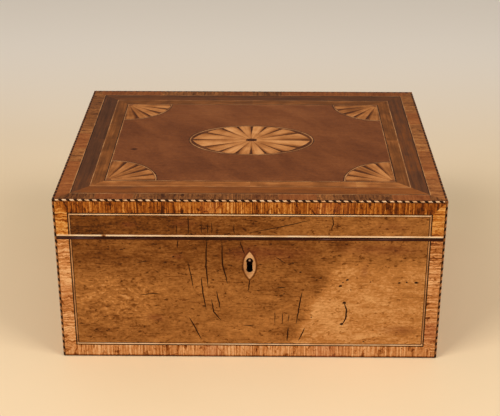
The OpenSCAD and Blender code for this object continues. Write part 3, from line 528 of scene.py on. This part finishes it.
def top_band(name, stops, front_shift, seed, blotch):
    """A banding of the top with its grain along it, and its own shade on the strip at the front."""
    g = Graph(name)
    inward, line, first = top_place(g)
    which = strip_number(g, first)
    grain = Grain(g, line, inward, 0.0, which + seed)
    patches = g.full(g.noise(g.join(line * 34, inward * 60, which + seed), 3.0, 0.55, 0.5))
    shade = segments(g, line, which, 110 * MM)
    at_front = g.less(g.y, 0.0) * (1 - first)
    left = first * g.less(g.x, 0.0)
    tone = 0.4 + at_front * front_shift - left * 0.06 + swing(shade, 0.12) + swing(patches, blotch)
    tone = tone + swing(grain.streak, 0.2) + swing(grain.fibre, 0.12) + swing(grain.band, 0.1)
    return satin(g, g.colours(tone - grain.pore * 0.06, *stops), grain)


DARK_BAND = (
    (0.00, srgb(46, 24, 12)),
    (0.40, srgb(88, 51, 28)),
    (0.70, srgb(126, 68, 25)),
    (1.00, srgb(158, 94, 42)),
)
INNER_BAND = (
    (0.00, srgb(70, 36, 14)),
    (0.40, srgb(116, 66, 27)),
    (0.70, srgb(158, 94, 44)),
    (1.00, srgb(196, 134, 74)),
)


def plain_wood(name, stops, tone_of, rough=0.36):
    """A line or a small piece: hardly any figure, fine fibres only."""
    g = Graph(name)
    grain = Grain(g, g.x + g.z * 0.3, g.y + g.z, 0.0, 31.0)
    value = tone_of(g) + swing(g.full(g.cloud(60, 3.0, 4.4)), 0.22) + swing(grain.fibre, 0.12)
    return satin(g, g.colours(value, *stops), grain, rough)


PALE = (
    (0.00, srgb(84, 44, 18)),
    (0.25, srgb(140, 88, 48)),
    (0.50, srgb(196, 140, 88)),
    (0.75, srgb(230, 182, 132)),
    (1.00, srgb(250, 222, 186)),
)
BLACK = (
    (0.00, srgb(12, 4, 2)),
    (0.60, srgb(42, 16, 8)),
    (1.00, srgb(84, 44, 24)),
)
SCORCHED = (
    (0.00, srgb(34, 13, 4)),
    (0.60, srgb(80, 39, 14)),
    (1.00, srgb(126, 72, 36)),
)
# Black, up to the grey of a painted sheen.
RIM_BLACK_AND_SHEEN = (
    (0.00, srgb(26, 3, 2)),
    (0.60, srgb(58, 22, 20)),
    (1.00, srgb(112, 88, 92)),
)


def rim_sheen_tone(g):
    """Black, with a painted sheen half way up: a greyish line standing for a reflection along the rim."""
    middle = RIM - 1.6 * MM
    return 0.1 + g.step(g.size(g.z - middle), 0.7 * MM, 0.2 * MM) * g.full(g.cloud(30, 3.0, 6.6)) * 0.7


def panel_line_tone(g):
    """Painted light: brighter where a line lies level and catches the light from above, darker up the
    upright lines, brighter still along the lip of the lid; darker at a chip.
    """
    edge, level, _ = face_edges(g)
    lip_highlight = g.less(LID_FOOT - 1 * MM, g.z) * g.less(g.z, LID_FOOT + 2 * MM)
    chip = g.spot(g.x, g.z, (-133 * MM, LID_FOOT), (3 * MM, 3 * MM))
    # Painted shade up the upright lines, leaving the lip as it is.
    beside = g.less(edge, level) * (1 - lip_highlight)
    return 0.82 - beside * 0.4 + lip_highlight * 0.06 - chip


def escutcheon_tone(g):
    """Boxwood with dirt in the joint all round it."""
    return 0.54 - g.step(escutcheon_depth(g), 0.7 * MM, 0.1 * MM) * 0.4


def rope_tone(g):
    """Dark, darker still on the top and away from the arris; pale down the front arris of the top edge,
    partly worn stringing and partly a painted highlight, and a little on the corners.
    """
    near_x, near_y, near_z = HALF_X - g.size(g.x), HALF_Y - g.size(g.y), TOP - g.z
    low, high = g.least(near_x, near_y), g.math("MAXIMUM", near_x, near_y)
    from_arris = g.math("MAXIMUM", low, g.least(high, near_z))
    seam = g.step(from_arris, 0.9 * MM, 1.7 * MM)
    on_top = g.less(near_z, ROPE)
    front = on_top * g.less(g.y, FRONT + ROPE) * g.less(3 * MM, near_x)
    # Pale down the front arris of the top edge: partly worn stringing, partly a painted highlight.
    brightened = front * g.step(g.y - FRONT, 0.7 * MM, 0.1 * MM) * g.step(near_z, 1.3 * MM, 0.7 * MM)
    grime = g.step(g.noise(g.join(g.x * 260, g.y * 260, g.z * 700), 2.0), 0.5, 0.66) * 0.4
    return 0.34 - on_top * 0.2 + brightened * (0.8 - grime) - seam * (1 - front) * 0.4


def ground_tone(g):
    """Brown between the petals and the arcs, and lighter at the hub of each fan."""
    corner_x, corner_y = FIELD_X - g.size(g.x), FIELD_Y - g.size(g.y)
    hub = g.less(corner_x, FAN_HUB) * g.less(corner_y, FAN_HUB)
    return 0.66 + hub * 0.34


PETAL = (
    (0.00, srgb(74, 34, 11)),
    (0.25, srgb(124, 70, 28)),
    (0.50, srgb(168, 104, 52)),
    (0.75, srgb(202, 136, 78)),
    (1.00, srgb(226, 166, 108)),
)


def petal_wood():
    """Light veneer that hot sand has browned along both sides of each petal."""
    g = Graph("petals")
    in_oval = g.less(g.size(g.x), ROUND_OVAL[0]) * g.less(g.size(g.y), ROUND_OVAL[1])
    px = g.either(in_oval, g.x, FIELD_X - g.size(g.x))
    py = g.either(in_oval, g.y, FIELD_Y - g.size(g.y))
    turn = g.math("ARCTAN2", py, px)
    step = g.either(in_oval, math.tau / OVAL_PETALS, math.tau / FAN_PETALS_IN_A_TURN)
    place = g.math("FRACT", turn / step + OVAL_PETALS)
    reach = g.math("SQRT", px * px + py * py)
    grain = Grain(g, reach, turn * 0.03, 0.0, 41.0)
    number = g.chance(g.math("FLOOR", turn / step), in_oval, g.less(0.0, g.x) + g.less(0.0, g.y) * 2)
    outward = g.step(reach, 6 * MM, 40 * MM) * 0.7 + 0.3
    sand = (g.step(place, 0.42, 0.0) * 0.4 + g.step(place, 0.8, 1.0) * 0.26) * outward
    tone = 0.47 + in_oval * 0.2 + swing(number, 0.22) - sand
    tone = tone + swing(grain.streak, 0.14) + swing(grain.fibre, 0.1)
    tone = tone + swing(g.full(g.cloud(60, 3.0)), 0.24)
    return satin(g, g.colours(tone, *PETAL), grain)


# The colour of the painted shade inside the keyhole.
KEYHOLE_SHADE = srgb(24, 10, 3)


def pine(name):
    """Bare old softwood: yellow brown, with growth rings, painted dark as shade inside the keyhole."""
    g = Graph(name)
    across_front = g.less(HALF_Y - BOARD, g.size(g.y))
    along = g.either(across_front, g.x, g.y)
    across = g.z + g.either(across_front, g.y, g.x) * 0.4
    grain = Grain(g, along, across, 0.0, 51.0)
    ring = g.math("SINE", across * 520 + grain.band * 3 + along * 3)
    tone = 0.5 + ring * 0.12 + swing(grain.streak, 0.12) + swing(grain.fibre, 0.12)
    tone = tone + swing(g.full(g.cloud(14, 3.0, 2.2)), 0.16)
    colour = g.colours(tone, (0.0, srgb(88, 54, 26)), (0.5, srgb(158, 112, 62)), (1.0, srgb(204, 164, 106)))
    # Painted shade inside the keyhole.
    colour = g.mix(keyhole_shade(g), colour, KEYHOLE_SHADE)
    return g.finish(colour, grain.fibre * 0.1 + 0.5, grain.fibre * 0.4 + ring * 0.1, 0.06 * MM)


DIVIDER_Y = -63 * MM
DIVIDER_HALF = 5 * MM


def fitting_wood():
    """Solid mahogany of the divider, which lies along the box, and of the racks, which lie across it."""
    g = Graph("mahogany_fittings")
    lengthways = g.less(g.size(g.y - DIVIDER_Y), DIVIDER_HALF)
    along = g.either(lengthways, g.x, g.y)
    grain = Grain(g, along, g.z, g.either(lengthways, g.y, g.x), 61.0)
    tone = 0.42 + swing(grain.band, 0.2) + swing(grain.streak, 0.16) + swing(grain.fibre, 0.12)
    return satin(g, g.colours(tone - grain.pore * 0.14, *TOP_BROWN), grain, 0.44, 0.1)


# Metals and cloth


KEYHOLE_SHADE_SIZE = (4.6 * MM, 9.5 * MM)  # half the width and height of the painted shade in the hole behind the keyhole


def keyhole_shade(g):
    """1 inside the keyhole, where the hole is painted dark as shade, short of the inner face of the board.
    """
    low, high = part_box("escutcheon")
    beside = g.less(g.size(g.x), KEYHOLE_SHADE_SIZE[0]) * g.less(g.size(g.z - (low.z + high.z) / 2), KEYHOLE_SHADE_SIZE[1])
    return beside * g.less(g.y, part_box("base_front_board")[1].y - 0.6 * MM)


def key_pin():
    """The pin of the lock, painted dark as the shade inside the keyhole, with a painted glint in the middle
    of its end.
    """
    g = Graph("key_pin")
    low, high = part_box("lock_key_pin")
    # A painted glint in the middle of the pin's end, on a body painted dark as shade.
    brightened = g.spot(g.x, g.z, (0, (low.z + high.z) / 2), (1.5 * MM, 1.5 * MM))
    return g.finish(g.mix(brightened, srgb(34, 14, 4), srgb(226, 176, 140)), 0.5)


def old_brass():
    """Lacquered once, now browned, with fine rubbing marks."""
    g = Graph("old_brass")
    rub = g.noise(g.join(g.x * 90, g.y * 1500, g.z * 1500), 2.0)
    tarnish = g.cloud(90, 4.0, 1.2)
    colour = g.colours(tarnish * 0.7 + rub * 0.3, (0.25, srgb(92, 66, 28)), (0.5, srgb(172, 134, 66)),
                       (0.8, srgb(206, 172, 98)))
    # Painted shade inside the keyhole.
    colour = g.mix(keyhole_shade(g), colour, KEYHOLE_SHADE)
    return g.finish(colour, tarnish * 0.3 + rub * 0.15 + 0.12, rub, 0.02 * MM, Metallic=1.0)


def filed_steel():
    """Bare steel with file marks and specks of rust."""
    g = Graph("filed_steel")
    rub = g.noise(g.join(g.x * 60, g.y * 2200, g.z * 2200), 2.0)
    rust = g.step(g.cloud(160, 4.0, 6.0), 0.56, 0.72)
    colour = g.mix(rust * 0.7, srgb(142, 140, 134), srgb(88, 56, 38))
    return g.finish(colour, rub * 0.2 + rust * 0.3 + 0.25, rub, 0.02 * MM, Metallic=0.9)


def baize(name):
    """Napped green wool, rubbed paler in places."""
    g = Graph(name)
    nap = g.noise(g.join(g.x * 2600, g.y * 2600, g.z * 2600), 3.0)
    clump = g.cloud(420, 3.0, 2.0)
    brightened = g.cloud(22, 3.0, 9.0)
    tone = 0.42 + (nap - 0.5) * 0.4 + (clump - 0.5) * 0.45 + (brightened - 0.5) * 0.4
    colour = g.colours(tone, (0.0, srgb(16, 34, 18)), (0.5, srgb(42, 74, 42)), (1.0, srgb(92, 120, 72)))
    fixed = {"Sheen_Weight": 0.5, "Sheen_Roughness": 0.5}
    return g.finish(colour, nap * 0.1 + 0.88, nap * 0.5 + clump * 0.5, 0.25 * MM, **fixed)


def floor_paper():
    """A warm pale ground, painted paler towards white far behind: painted light that makes up for the
    lamps' falloff there.
    """
    g = Graph("pale_floor")
    near = g.mix(g.cloud(3, 3.0, 5.0), srgb(228, 201, 160), srgb(238, 212, 174))
    # Painted light: paler far behind, where the lamps reach less.
    colour = g.mix(g.step(g.y, 0.15, 0.9), near, srgb(252, 240, 224))
    return g.finish(colour, 0.6, g.cloud(400, 2.0), 0.05 * MM)


# Pieces made here


def mesh_object(name, bm, material, body):
    """A piece made of a bmesh, which it frees, riding on a body."""
    mesh = bpy.data.meshes.new(name)
    bmesh.ops.recalc_face_normals(bm, faces=bm.faces)
    bm.to_mesh(mesh)
    bm.free()
    piece = bpy.data.objects.new(name, mesh)
    bpy.context.scene.collection.objects.link(piece)
    mesh.materials.append(material)
    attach(piece, body)
    return piece


def slab(a_values, b_values, place, thickness):
    """A closed slab over a grid of two coordinates. place(a, b, back) gives each corner."""
    bm = bmesh.new()
    rows = [[[bm.verts.new(place(a, b, back)) for b in b_values] for a in a_values]
            for back in (0.0, thickness)]
    na, nb = len(a_values), len(b_values)
    for i in range(na - 1):
        for j in range(nb - 1):
            for side in rows:
                bm.faces.new((side[i][j], side[i + 1][j], side[i + 1][j + 1], side[i][j + 1]))
    ring = [(i, 0) for i in range(na)] + [(na - 1, j) for j in range(1, nb)]
    ring += [(i, nb - 1) for i in range(na - 2, -1, -1)] + [(0, j) for j in range(nb - 2, 0, -1)]
    for (i, j), (k, l) in zip(ring, ring[1:] + ring[:1]):
        bm.faces.new((rows[0][i][j], rows[0][k][l], rows[1][k][l], rows[1][i][j]))
    return bm


def spread(low, high, spacing):
    """Values from low to high about a spacing apart, both ends included."""
    count = max(1, round((high - low) / spacing))
    return [low + (high - low) * k / count for k in range(count + 1)]


BLADE_STEPS = 6
BLADE_PROUD = 0.2  # how far a blade stands out of the front, in millimetres


def crack_blade(bm, points, width, depth):
    """A thin wavering blade along a line on the front, widest in the middle, that cuts a crack.
    Points, width and depth are in millimetres."""
    spots = []
    for (x0, z0), (x1, z1) in zip(points, points[1:]):
        for k in range(BLADE_STEPS):
            t = k / BLADE_STEPS
            spots.append(Vector((x0 + (x1 - x0) * t, z0 + (z1 - z0) * t)))
    spots.append(Vector(points[-1]))
    last = len(spots) - 1
    rings = []
    for i, p in enumerate(spots):
        ahead = (spots[min(i + 1, last)] - spots[max(i - 1, 0)]).normalized()
        side = Vector((-ahead.y, ahead.x))
        shake = noise.noise(Vector((p.x, p.y, 0.3)) * 0.45) * 0.5
        swell = 0.12 + math.sin(math.pi * i / last) ** 0.6
        half = side * (width * 1.3 * swell)
        p = p + side * shake
        narrow = half * 0.5
        corners = [(p + half, -BLADE_PROUD), (p - half, -BLADE_PROUD),
                   (p - narrow, depth), (p + narrow, depth)]
        rings.append([bm.verts.new((c.x * MM, FRONT + y * MM, c.y * MM)) for c, y in corners])
    for a, b in zip(rings, rings[1:]):
        for k in range(4):
            bm.faces.new((a[k], a[(k + 1) % 4], b[(k + 1) % 4], b[k]))
    bm.faces.new(rings[0])
    bm.faces.new(reversed(rings[-1]))


def navette_prism(bm, centre_z, height, width, steps=16):
    """The pointed oval that the escutcheon fills, as a prism through the front veneer."""
    h, w = height / 2, width / 2
    radius = (h * h + w * w) / (2 * w)
    top_angle = math.asin(h / radius)
    outline = []
    for side in (1, -1):
        for k in range(steps):
            t = side * (top_angle - 2 * top_angle * k / steps)
            outline.append((side * (w - radius + radius * math.cos(t)), centre_z + radius * math.sin(t)))
    rings = [[bm.verts.new((x, FRONT + y, z)) for x, z in outline] for y in (-VENEER, 2 * VENEER)]
    for k in range(len(outline)):
        n = (k + 1) % len(outline)
        bm.faces.new((rings[0][k], rings[0][n], rings[1][n], rings[1][k]))
    bm.faces.new(rings[0])
    bm.faces.new(reversed(rings[1]))


def cut_away(piece, cutter_bm):
    """Takes the cutter's solids out of a piece."""
    bmesh.ops.recalc_face_normals(cutter_bm, faces=cutter_bm.faces)
    mesh = bpy.data.meshes.new("cutter")
    cutter_bm.to_mesh(mesh)
    cutter_bm.free()
    cutter = bpy.data.objects.new("cutter", mesh)
    bpy.context.scene.collection.objects.link(cutter)
    cut = piece.modifiers.new("cut", "BOOLEAN")
    cut.operation = "DIFFERENCE"
    cut.solver = "EXACT"
    cut.use_self = True
    cut.object = cutter
    graph = bpy.context.evaluated_depsgraph_get()
    made = bpy.data.meshes.new_from_object(piece.evaluated_get(graph))
    piece.modifiers.clear()
    piece.data = made
    bpy.data.objects.remove(cutter)


# Cracks in the front, in millimetres: points as x and z, width, depth
BASE_CRACKS = [
    (((-65.7, 125), (-65.9, 116.5)), 0.5, 0.4),
    (((-39.2, 125), (-40.3, 99), (-38.4, 76)), 0.65, 0.5),
    (((-25.4, 125), (-24.9, 99), (-20.2, 79.5)), 0.65, 0.5),
    (((-9, 125), (-4.7, 110)), 0.55, 0.4),
    (((-57, 103), (-52, 74.5)), 0.5, 0.4),
    (((-45, 87), (-43.4, 70), (-40.8, 52)), 0.6, 0.5),
    (((-31, 72.5), (-27.3, 52)), 0.6, 0.4),
    (((-35.6, 63.5), (-33.7, 49.5), (-26.6, 40.5)), 0.6, 0.5),
    (((0, 85), (-1.2, 72)), 0.55, 0.5),
    (((-57.4, 44.5), (-45.1, 19)), 0.6, 0.5),
    (((23.7, 50.7), (23.9, 37.5)), 0.4, 0.3),
    (((30.6, 50), (31, 36.7)), 0.45, 0.3),
    (((36.8, 48), (36.4, 39)), 0.4, 0.3),
    (((49.1, 72.3), (46.3, 56), (43.9, 36.7)), 0.6, 0.5),
    (((36.3, 34.2), (35.6, 18)), 0.6, 0.5),
    (((52.2, 33), (46.3, 18.2)), 0.6, 0.4),
    (((87.8, 61), (90.9, 53), (90.2, 43), (86.6, 35.5)), 0.7, 0.5),
    (((23.7, 108), (33.2, 101.5)), 0.45, 0.3),
    (((-104, 67), (-94, 68.6), (-84, 69)), 0.45, 0.3),
    (((25, 76), (34, 76.6)), 0.5, 0.3),
    (((-7, 35.5), (7, 34.2)), 0.45, 0.3),
    (((-104, 101.5), (-94, 102.8)), 0.45, 0.3),
]
LID_CRACKS = [
    (((-55.8, 149.5), (-55.6, 131)), 0.55, 0.4),
    (((-66.4, 141), (-66.2, 131)), 0.4, 0.3),
    (((-43.9, 144), (-43.6, 131)), 0.4, 0.3),
    (((-38, 142), (-38, 131)), 0.4, 0.3),
    (((-34.4, 143), (-34.2, 131)), 0.4, 0.3),
    (((-14.2, 142), (-14, 131)), 0.4, 0.3),
    (((-3.6, 132), (30, 139), (56, 146)), 0.5, 0.3),
    (((74.8, 149.5), (76, 142), (74, 136)), 0.55, 0.3),
]
# Small pits in the front of the base, in millimetres: x, z and length
PITS = [(84.2, 77.4, 3.2), (90.5, 84, 2.8), (86.5, 81.5, 1.6), (88.5, 59.5, 3.6), (86.6, 36.6, 3.4),
        (138.6, 81.2, 2.4), (145.5, 81.8, 2), (154.2, 81.4, 3.4), (-70, 107, 2.2), (94, 74, 1.4),
        (58, 44, 1.6), (-18, 93, 1.2), (108, 17.5, 1.6), (47, 92, 2.2), (40, 101, 1.8), (112, 82, 1.6),
        (32, 69, 1.6), (-133, 30, 1.4)]


PIT_WIDTH = 0.34  # of its length
PIT_DEPTH = 0.4
PLATE_GRID = 3.5 * MM
SINKING = 0.11 * MM
HELD_EDGE = 5 * MM


def front_plate(name, node, material, body, cracks, pits, hole):
    """A front veneer that has sunk and cracked with age, in place of its flat node."""
    low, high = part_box(node)

    def place(x, z, back):
        near = min(x - low.x, high.x - x, z - low.z, high.z - z)
        fade = min(1.0, near / HELD_EDGE)
        sunk = 0.5 + 0.5 * noise.noise(Vector((x * 26, 1.7, z * 34)))
        return (x, low.y + back + (1 - back / VENEER) * fade * sunk * SINKING, z)
    bm = slab(spread(low.x, high.x, PLATE_GRID), spread(low.z, high.z, PLATE_GRID), place, VENEER)
    piece = mesh_object(name, bm, material, body)
    cutter = bmesh.new()
    for points, width, depth in cracks:
        crack_blade(cutter, points, width, depth)
    for x, z, length in pits:
        line = ((x - length / 2, z), (x, z + length / 4), (x + length / 2, z + length / 9))
        crack_blade(cutter, line, length * PIT_WIDTH, PIT_DEPTH)
    if hole:
        e_low, e_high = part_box(hole)
        navette_prism(cutter, (e_low.z + e_high.z) / 2, e_high.z - e_low.z, e_high.x - e_low.x)
    cut_away(piece, cutter)
    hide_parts(node)
    return piece


CLOTH_GRID = 4 * MM
CLOTH_EDGE = 1 * MM


def cloth(name, corner, edge_a, edge_b, normal, body, node, thick=0.7 * MM):
    """Baize glued to a face: a sheet from a corner along two edges, slightly puckered and frayed."""
    corner, normal = Vector(corner), Vector(normal)
    a_dir, b_dir = Vector(edge_a).normalized(), Vector(edge_b).normalized()
    a_len, b_len = Vector(edge_a).length, Vector(edge_b).length
    seed = sum(ord(c) for c in name) * 0.37

    def place(a, b, back):
        ripple = 0.5 + 0.5 * noise.noise(Vector((a * 30, b * 30, seed)))
        fray = 0.25 * MM * noise.noise(Vector((a * 180, b * 180, seed + 5)))
        at = corner + a_dir * a + b_dir * b
        inside = min(a, a_len - a, b, b_len - b) > CLOTH_EDGE
        lift = back if back == 0 else thick * (0.72 + 0.28 * ripple)
        shift = Vector((0, 0, 0)) if inside else (a_dir + b_dir) * (fray - 0.3 * MM) * 0.2
        return at + normal * lift + shift
    bm = slab(spread(0, a_len, CLOTH_GRID), spread(0, b_len, CLOTH_GRID), place, thick)
    piece = mesh_object(name, bm, MATERIALS["baize"], body)
    for polygon in piece.data.polygons:
        polygon.use_smooth = True
    piece.data.set_sharp_from_angle(angle=math.radians(40))
    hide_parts(node)
    return piece


# The materials, and what wears them

MATERIALS = {
    "front": front_field("front_veneer_base", base_front_tone, BASE_REDS),
    "lid_front": front_field("front_veneer_lid", lid_front_tone, LID_REDS),
    "sides": side_veneer("side_veneers"),
    "crossband": upright_crossband("crossband_base", CROSSBAND, foot_tone, 0.3),
    "lid_crossband": upright_crossband("crossband_lid", LID_CROSSBAND, lid_tone, 0.15),
    "top_crossband": top_crossband(),
    "dark_band": top_band("dark_band", DARK_BAND, 0.3, 13.0, 0.16),
    "inner_band": top_band("inner_band", INNER_BAND, 0.26, 17.0, 0.3),
    "field": mahogany_top(),
    "ground": plain_wood("inlay_ground", SCORCHED, ground_tone),
    "panel_line": plain_wood("boxwood", PALE, panel_line_tone),
    "top_line": plain_wood("boxwood_top", PALE, lambda g: 0.33),
    "escutcheon": plain_wood("boxwood_escutcheon", PALE, escutcheon_tone),
    "rope": plain_wood("boxwood_rope", PALE, rope_tone),
    "black": plain_wood("stained_black", BLACK, lambda g: 0.4, 0.28),
    "rim": plain_wood("rim_black_and_sheen", RIM_BLACK_AND_SHEEN, rim_sheen_tone, 0.24),
    "scorched": plain_wood("scorched", SCORCHED, lambda g: 0.5),
    "centre": plain_wood("inlay_centre", SCORCHED, lambda g: 0.4),
    "pin": key_pin(),
    "petals": petal_wood(),
    "pine": pine("pine"),
    "fittings": fitting_wood(),
    "brass": old_brass(),
    "steel": filed_steel(),
    "baize": baize("green_baize"),
}
WORN_BY = {
    "sides": ["base_side_veneers", "base_back_veneer", "lid_side_veneers", "lid_back_veneer"],
    "crossband": ["base_crossbands"],
    "lid_crossband": ["lid_crossbands"],
    "top_crossband": ["top_outer_crossband"],
    "dark_band": ["top_dark_band"],
    "inner_band": ["top_inner_band"],
    "field": ["top_field"],
    "ground": ["inlay_ground"],
    "centre": ["oval_centre"],
    "pin": ["lock_key_pin"],
    "panel_line": ["base_light_strings", "lid_light_strings"],
    "top_line": ["top_light_strings"],
    "escutcheon": ["escutcheon"],
    "rope": ["base_corner_stringing_light", "lid_edge_stringing_light"],
    "black": ["base_dark_strings", "lid_dark_strings", "top_dark_strings",
              "base_corner_stringing_dark", "lid_edge_stringing_dark"],
    "rim": ["base_rim_line"],
    "scorched": ["inlay_rays"],
    "petals": ["oval_petals", "fan_petals"],
    "pine": ["bottom_board", "base_front_board", "base_back_board", "base_left_board", "base_right_board",
             "lid_top_board", "lid_front_rail", "lid_back_rail", "lid_left_rail", "lid_right_rail"],
    "fittings": ["long_divider", "handle_rack", "blade_rack"],
    "brass": ["lock_plate", "lock_case", "lock_screws", "hinge_base_leaves", "hinge_base_screws",
              "link_plate", "link_plate_screws", "hinge_lid_leaves", "hinge_lid_screws"],
    "steel": ["lock_spring", "lock_bolt", "hinge_pins"],
    "baize": ["underside_baize", "floor_lining", "wall_lining", "lid_lining"],
    "front": ["base_front_veneer"],
    "lid_front": ["lid_front_veneer"],
}
for look, names in WORN_BY.items():
    for name in names:
        for slot in NODES[name].material_slots:
            slot.material = MATERIALS[look]

# The arrises of the stringing, which hands have rounded
WORN_ARRIS = 0.25 * MM
for name in ("base_corner_stringing_light", "base_corner_stringing_dark",
             "lid_edge_stringing_light", "lid_edge_stringing_dark"):
    bevel = NODES[name].modifiers.new("worn", "BEVEL")
    bevel.width = WORN_ARRIS
    bevel.segments = 2
    bevel.limit_method = "ANGLE"

front_plate("front_veneer_base", "base_front_veneer", MATERIALS["front"], "base", BASE_CRACKS, PITS,
            "escutcheon")
front_plate("front_veneer_lid", "lid_front_veneer", MATERIALS["lid_front"], "lid", LID_CRACKS, [], None)


def line_floor_and_lid():
    """Baize on the floor, in the lid and under the box."""
    low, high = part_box("floor_lining")
    cloth("floor_baize", low, (high.x - low.x, 0, 0), (0, high.y - low.y, 0), (0, 0, 1),
          "base", "floor_lining")
    low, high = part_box("lid_lining")
    cloth("lid_baize", (low.x, low.y, high.z), (high.x - low.x, 0, 0), (0, high.y - low.y, 0),
          (0, 0, -1), "lid", "lid_lining")
    low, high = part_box("underside_baize")
    cloth("underside_cloth", (low.x, low.y, high.z), (high.x - low.x, 0, 0), (0, high.y - low.y, 0),
          (0, 0, -1), "base", "underside_baize", high.z - low.z)


def line_walls():
    """Baize on the four walls, in three pieces round the lock on the front one."""
    low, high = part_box("wall_lining")
    wide, deep, tall = high - low
    lock_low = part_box("lock_plate")[0]
    up = (0, 0, tall)
    cloth("wall_baize_back", (high.x, high.y, low.z), (-wide, 0, 0), up, (0, -1, 0),
          "base", "wall_lining")
    for side, name in ((-1, "left"), (1, "right")):
        cloth("wall_baize_" + name, (side * high.x, low.y + LINING, low.z), (0, deep - 2 * LINING, 0), up,
              (-side, 0, 0), "base", "wall_lining")
    beside = lock_low.x - BESIDE_LOCK - low.x
    cloth("wall_baize_front_left", low, (beside, 0, 0), up, (0, 1, 0),
          "base", "wall_lining")
    cloth("wall_baize_front_right", (high.x, low.y, low.z), (-beside, 0, 0), up, (0, 1, 0),
          "base", "wall_lining")
    cloth("wall_baize_front_middle", (lock_low.x - BESIDE_LOCK, low.y, low.z), (wide - 2 * beside, 0, 0),
          (0, 0, lock_low.z - BESIDE_LOCK - low.z), (0, 1, 0), "base", "wall_lining")


line_floor_and_lid()
line_walls()

# Stage


FLOOR_REACH = 6


def stage_floor():
    """A plain floor under the box."""
    bm = bmesh.new()
    bmesh.ops.create_grid(bm, x_segments=1, y_segments=1, size=FLOOR_REACH)
    mesh = bpy.data.meshes.new("floor")
    bm.to_mesh(mesh)
    bm.free()
    floor = bpy.data.objects.new("floor", mesh)
    mesh.materials.append(floor_paper())
    bpy.context.scene.collection.objects.link(floor)


WARM_LIGHT = (1.0, 0.96, 0.91)
WARM_SKY = (1.0, 0.97, 0.93, 1)
SKY_FALL = 3  # the power by which the sky dims from overhead to the horizon


def area_light(name, place, target, size, power, colour=WARM_LIGHT):
    """A soft rectangular light aimed at a point."""
    data = bpy.data.lights.new(name, "AREA")
    data.shape = "RECTANGLE"
    data.size, data.size_y = size
    data.energy = power
    data.color = colour
    light = bpy.data.objects.new(name, data)
    light.location = place
    light.rotation_euler = (Vector(target) - Vector(place)).to_track_quat("-Z", "Y").to_euler()
    bpy.context.scene.collection.objects.link(light)


def soft_studio():
    """Soft light from high in front, and a sky that is bright overhead and dark at the horizon."""
    world = bpy.data.worlds.new("studio")
    bpy.context.scene.world = world
    world.use_nodes = True
    nodes, links = world.node_tree.nodes, world.node_tree.links
    direction = nodes.new("ShaderNodeTexCoord").outputs["Generated"]
    parts = nodes.new("ShaderNodeSeparateXYZ")
    links.new(direction, parts.inputs[0])
    height = nodes.new("ShaderNodeMath")
    height.operation, height.use_clamp = "MAXIMUM", True
    links.new(parts.outputs["Z"], height.inputs[0])
    rise = nodes.new("ShaderNodeMath")
    rise.operation = "POWER"
    rise.inputs[1].default_value = SKY_FALL
    links.new(height.outputs[0], rise.inputs[0])
    background = nodes["Background"]
    background.inputs["Color"].default_value = WARM_SKY
    links.new(rise.outputs[0], background.inputs["Strength"])
    middle = (0, 0, 0.08)
    area_light("left", (-0.95, -0.95, 1.45), middle, (0.9, 0.7), 20)
    area_light("right", (1.0, -0.8, 1.4), middle, (0.8, 0.7), 14)


# The camera solved from the corners of the box, for a frame 500 by 416 pixels
FRAME_PIXELS = 500
FOCAL_PIXELS = 1174.1
CAMERA_PLACE = (0.0123, -1.1020, 0.6062)
PITCH = math.radians(25.138)
YAW = math.radians(-0.715)


def photo_camera():
    """The camera at the photo's angle."""
    data = bpy.data.cameras.new("camera")
    data.sensor_width = 36
    data.lens = FOCAL_PIXELS / FRAME_PIXELS * data.sensor_width
    camera = bpy.data.objects.new("camera", data)
    camera.location = CAMERA_PLACE
    camera.rotation_euler = (math.pi / 2 - PITCH, 0, -YAW)
    data.clip_start = 0.05
    data.clip_end = 50
    bpy.context.scene.collection.objects.link(camera)
    bpy.context.scene.camera = camera


stage_floor()
soft_studio()
photo_camera()
bpy.context.scene.view_settings.view_transform = "Standard"
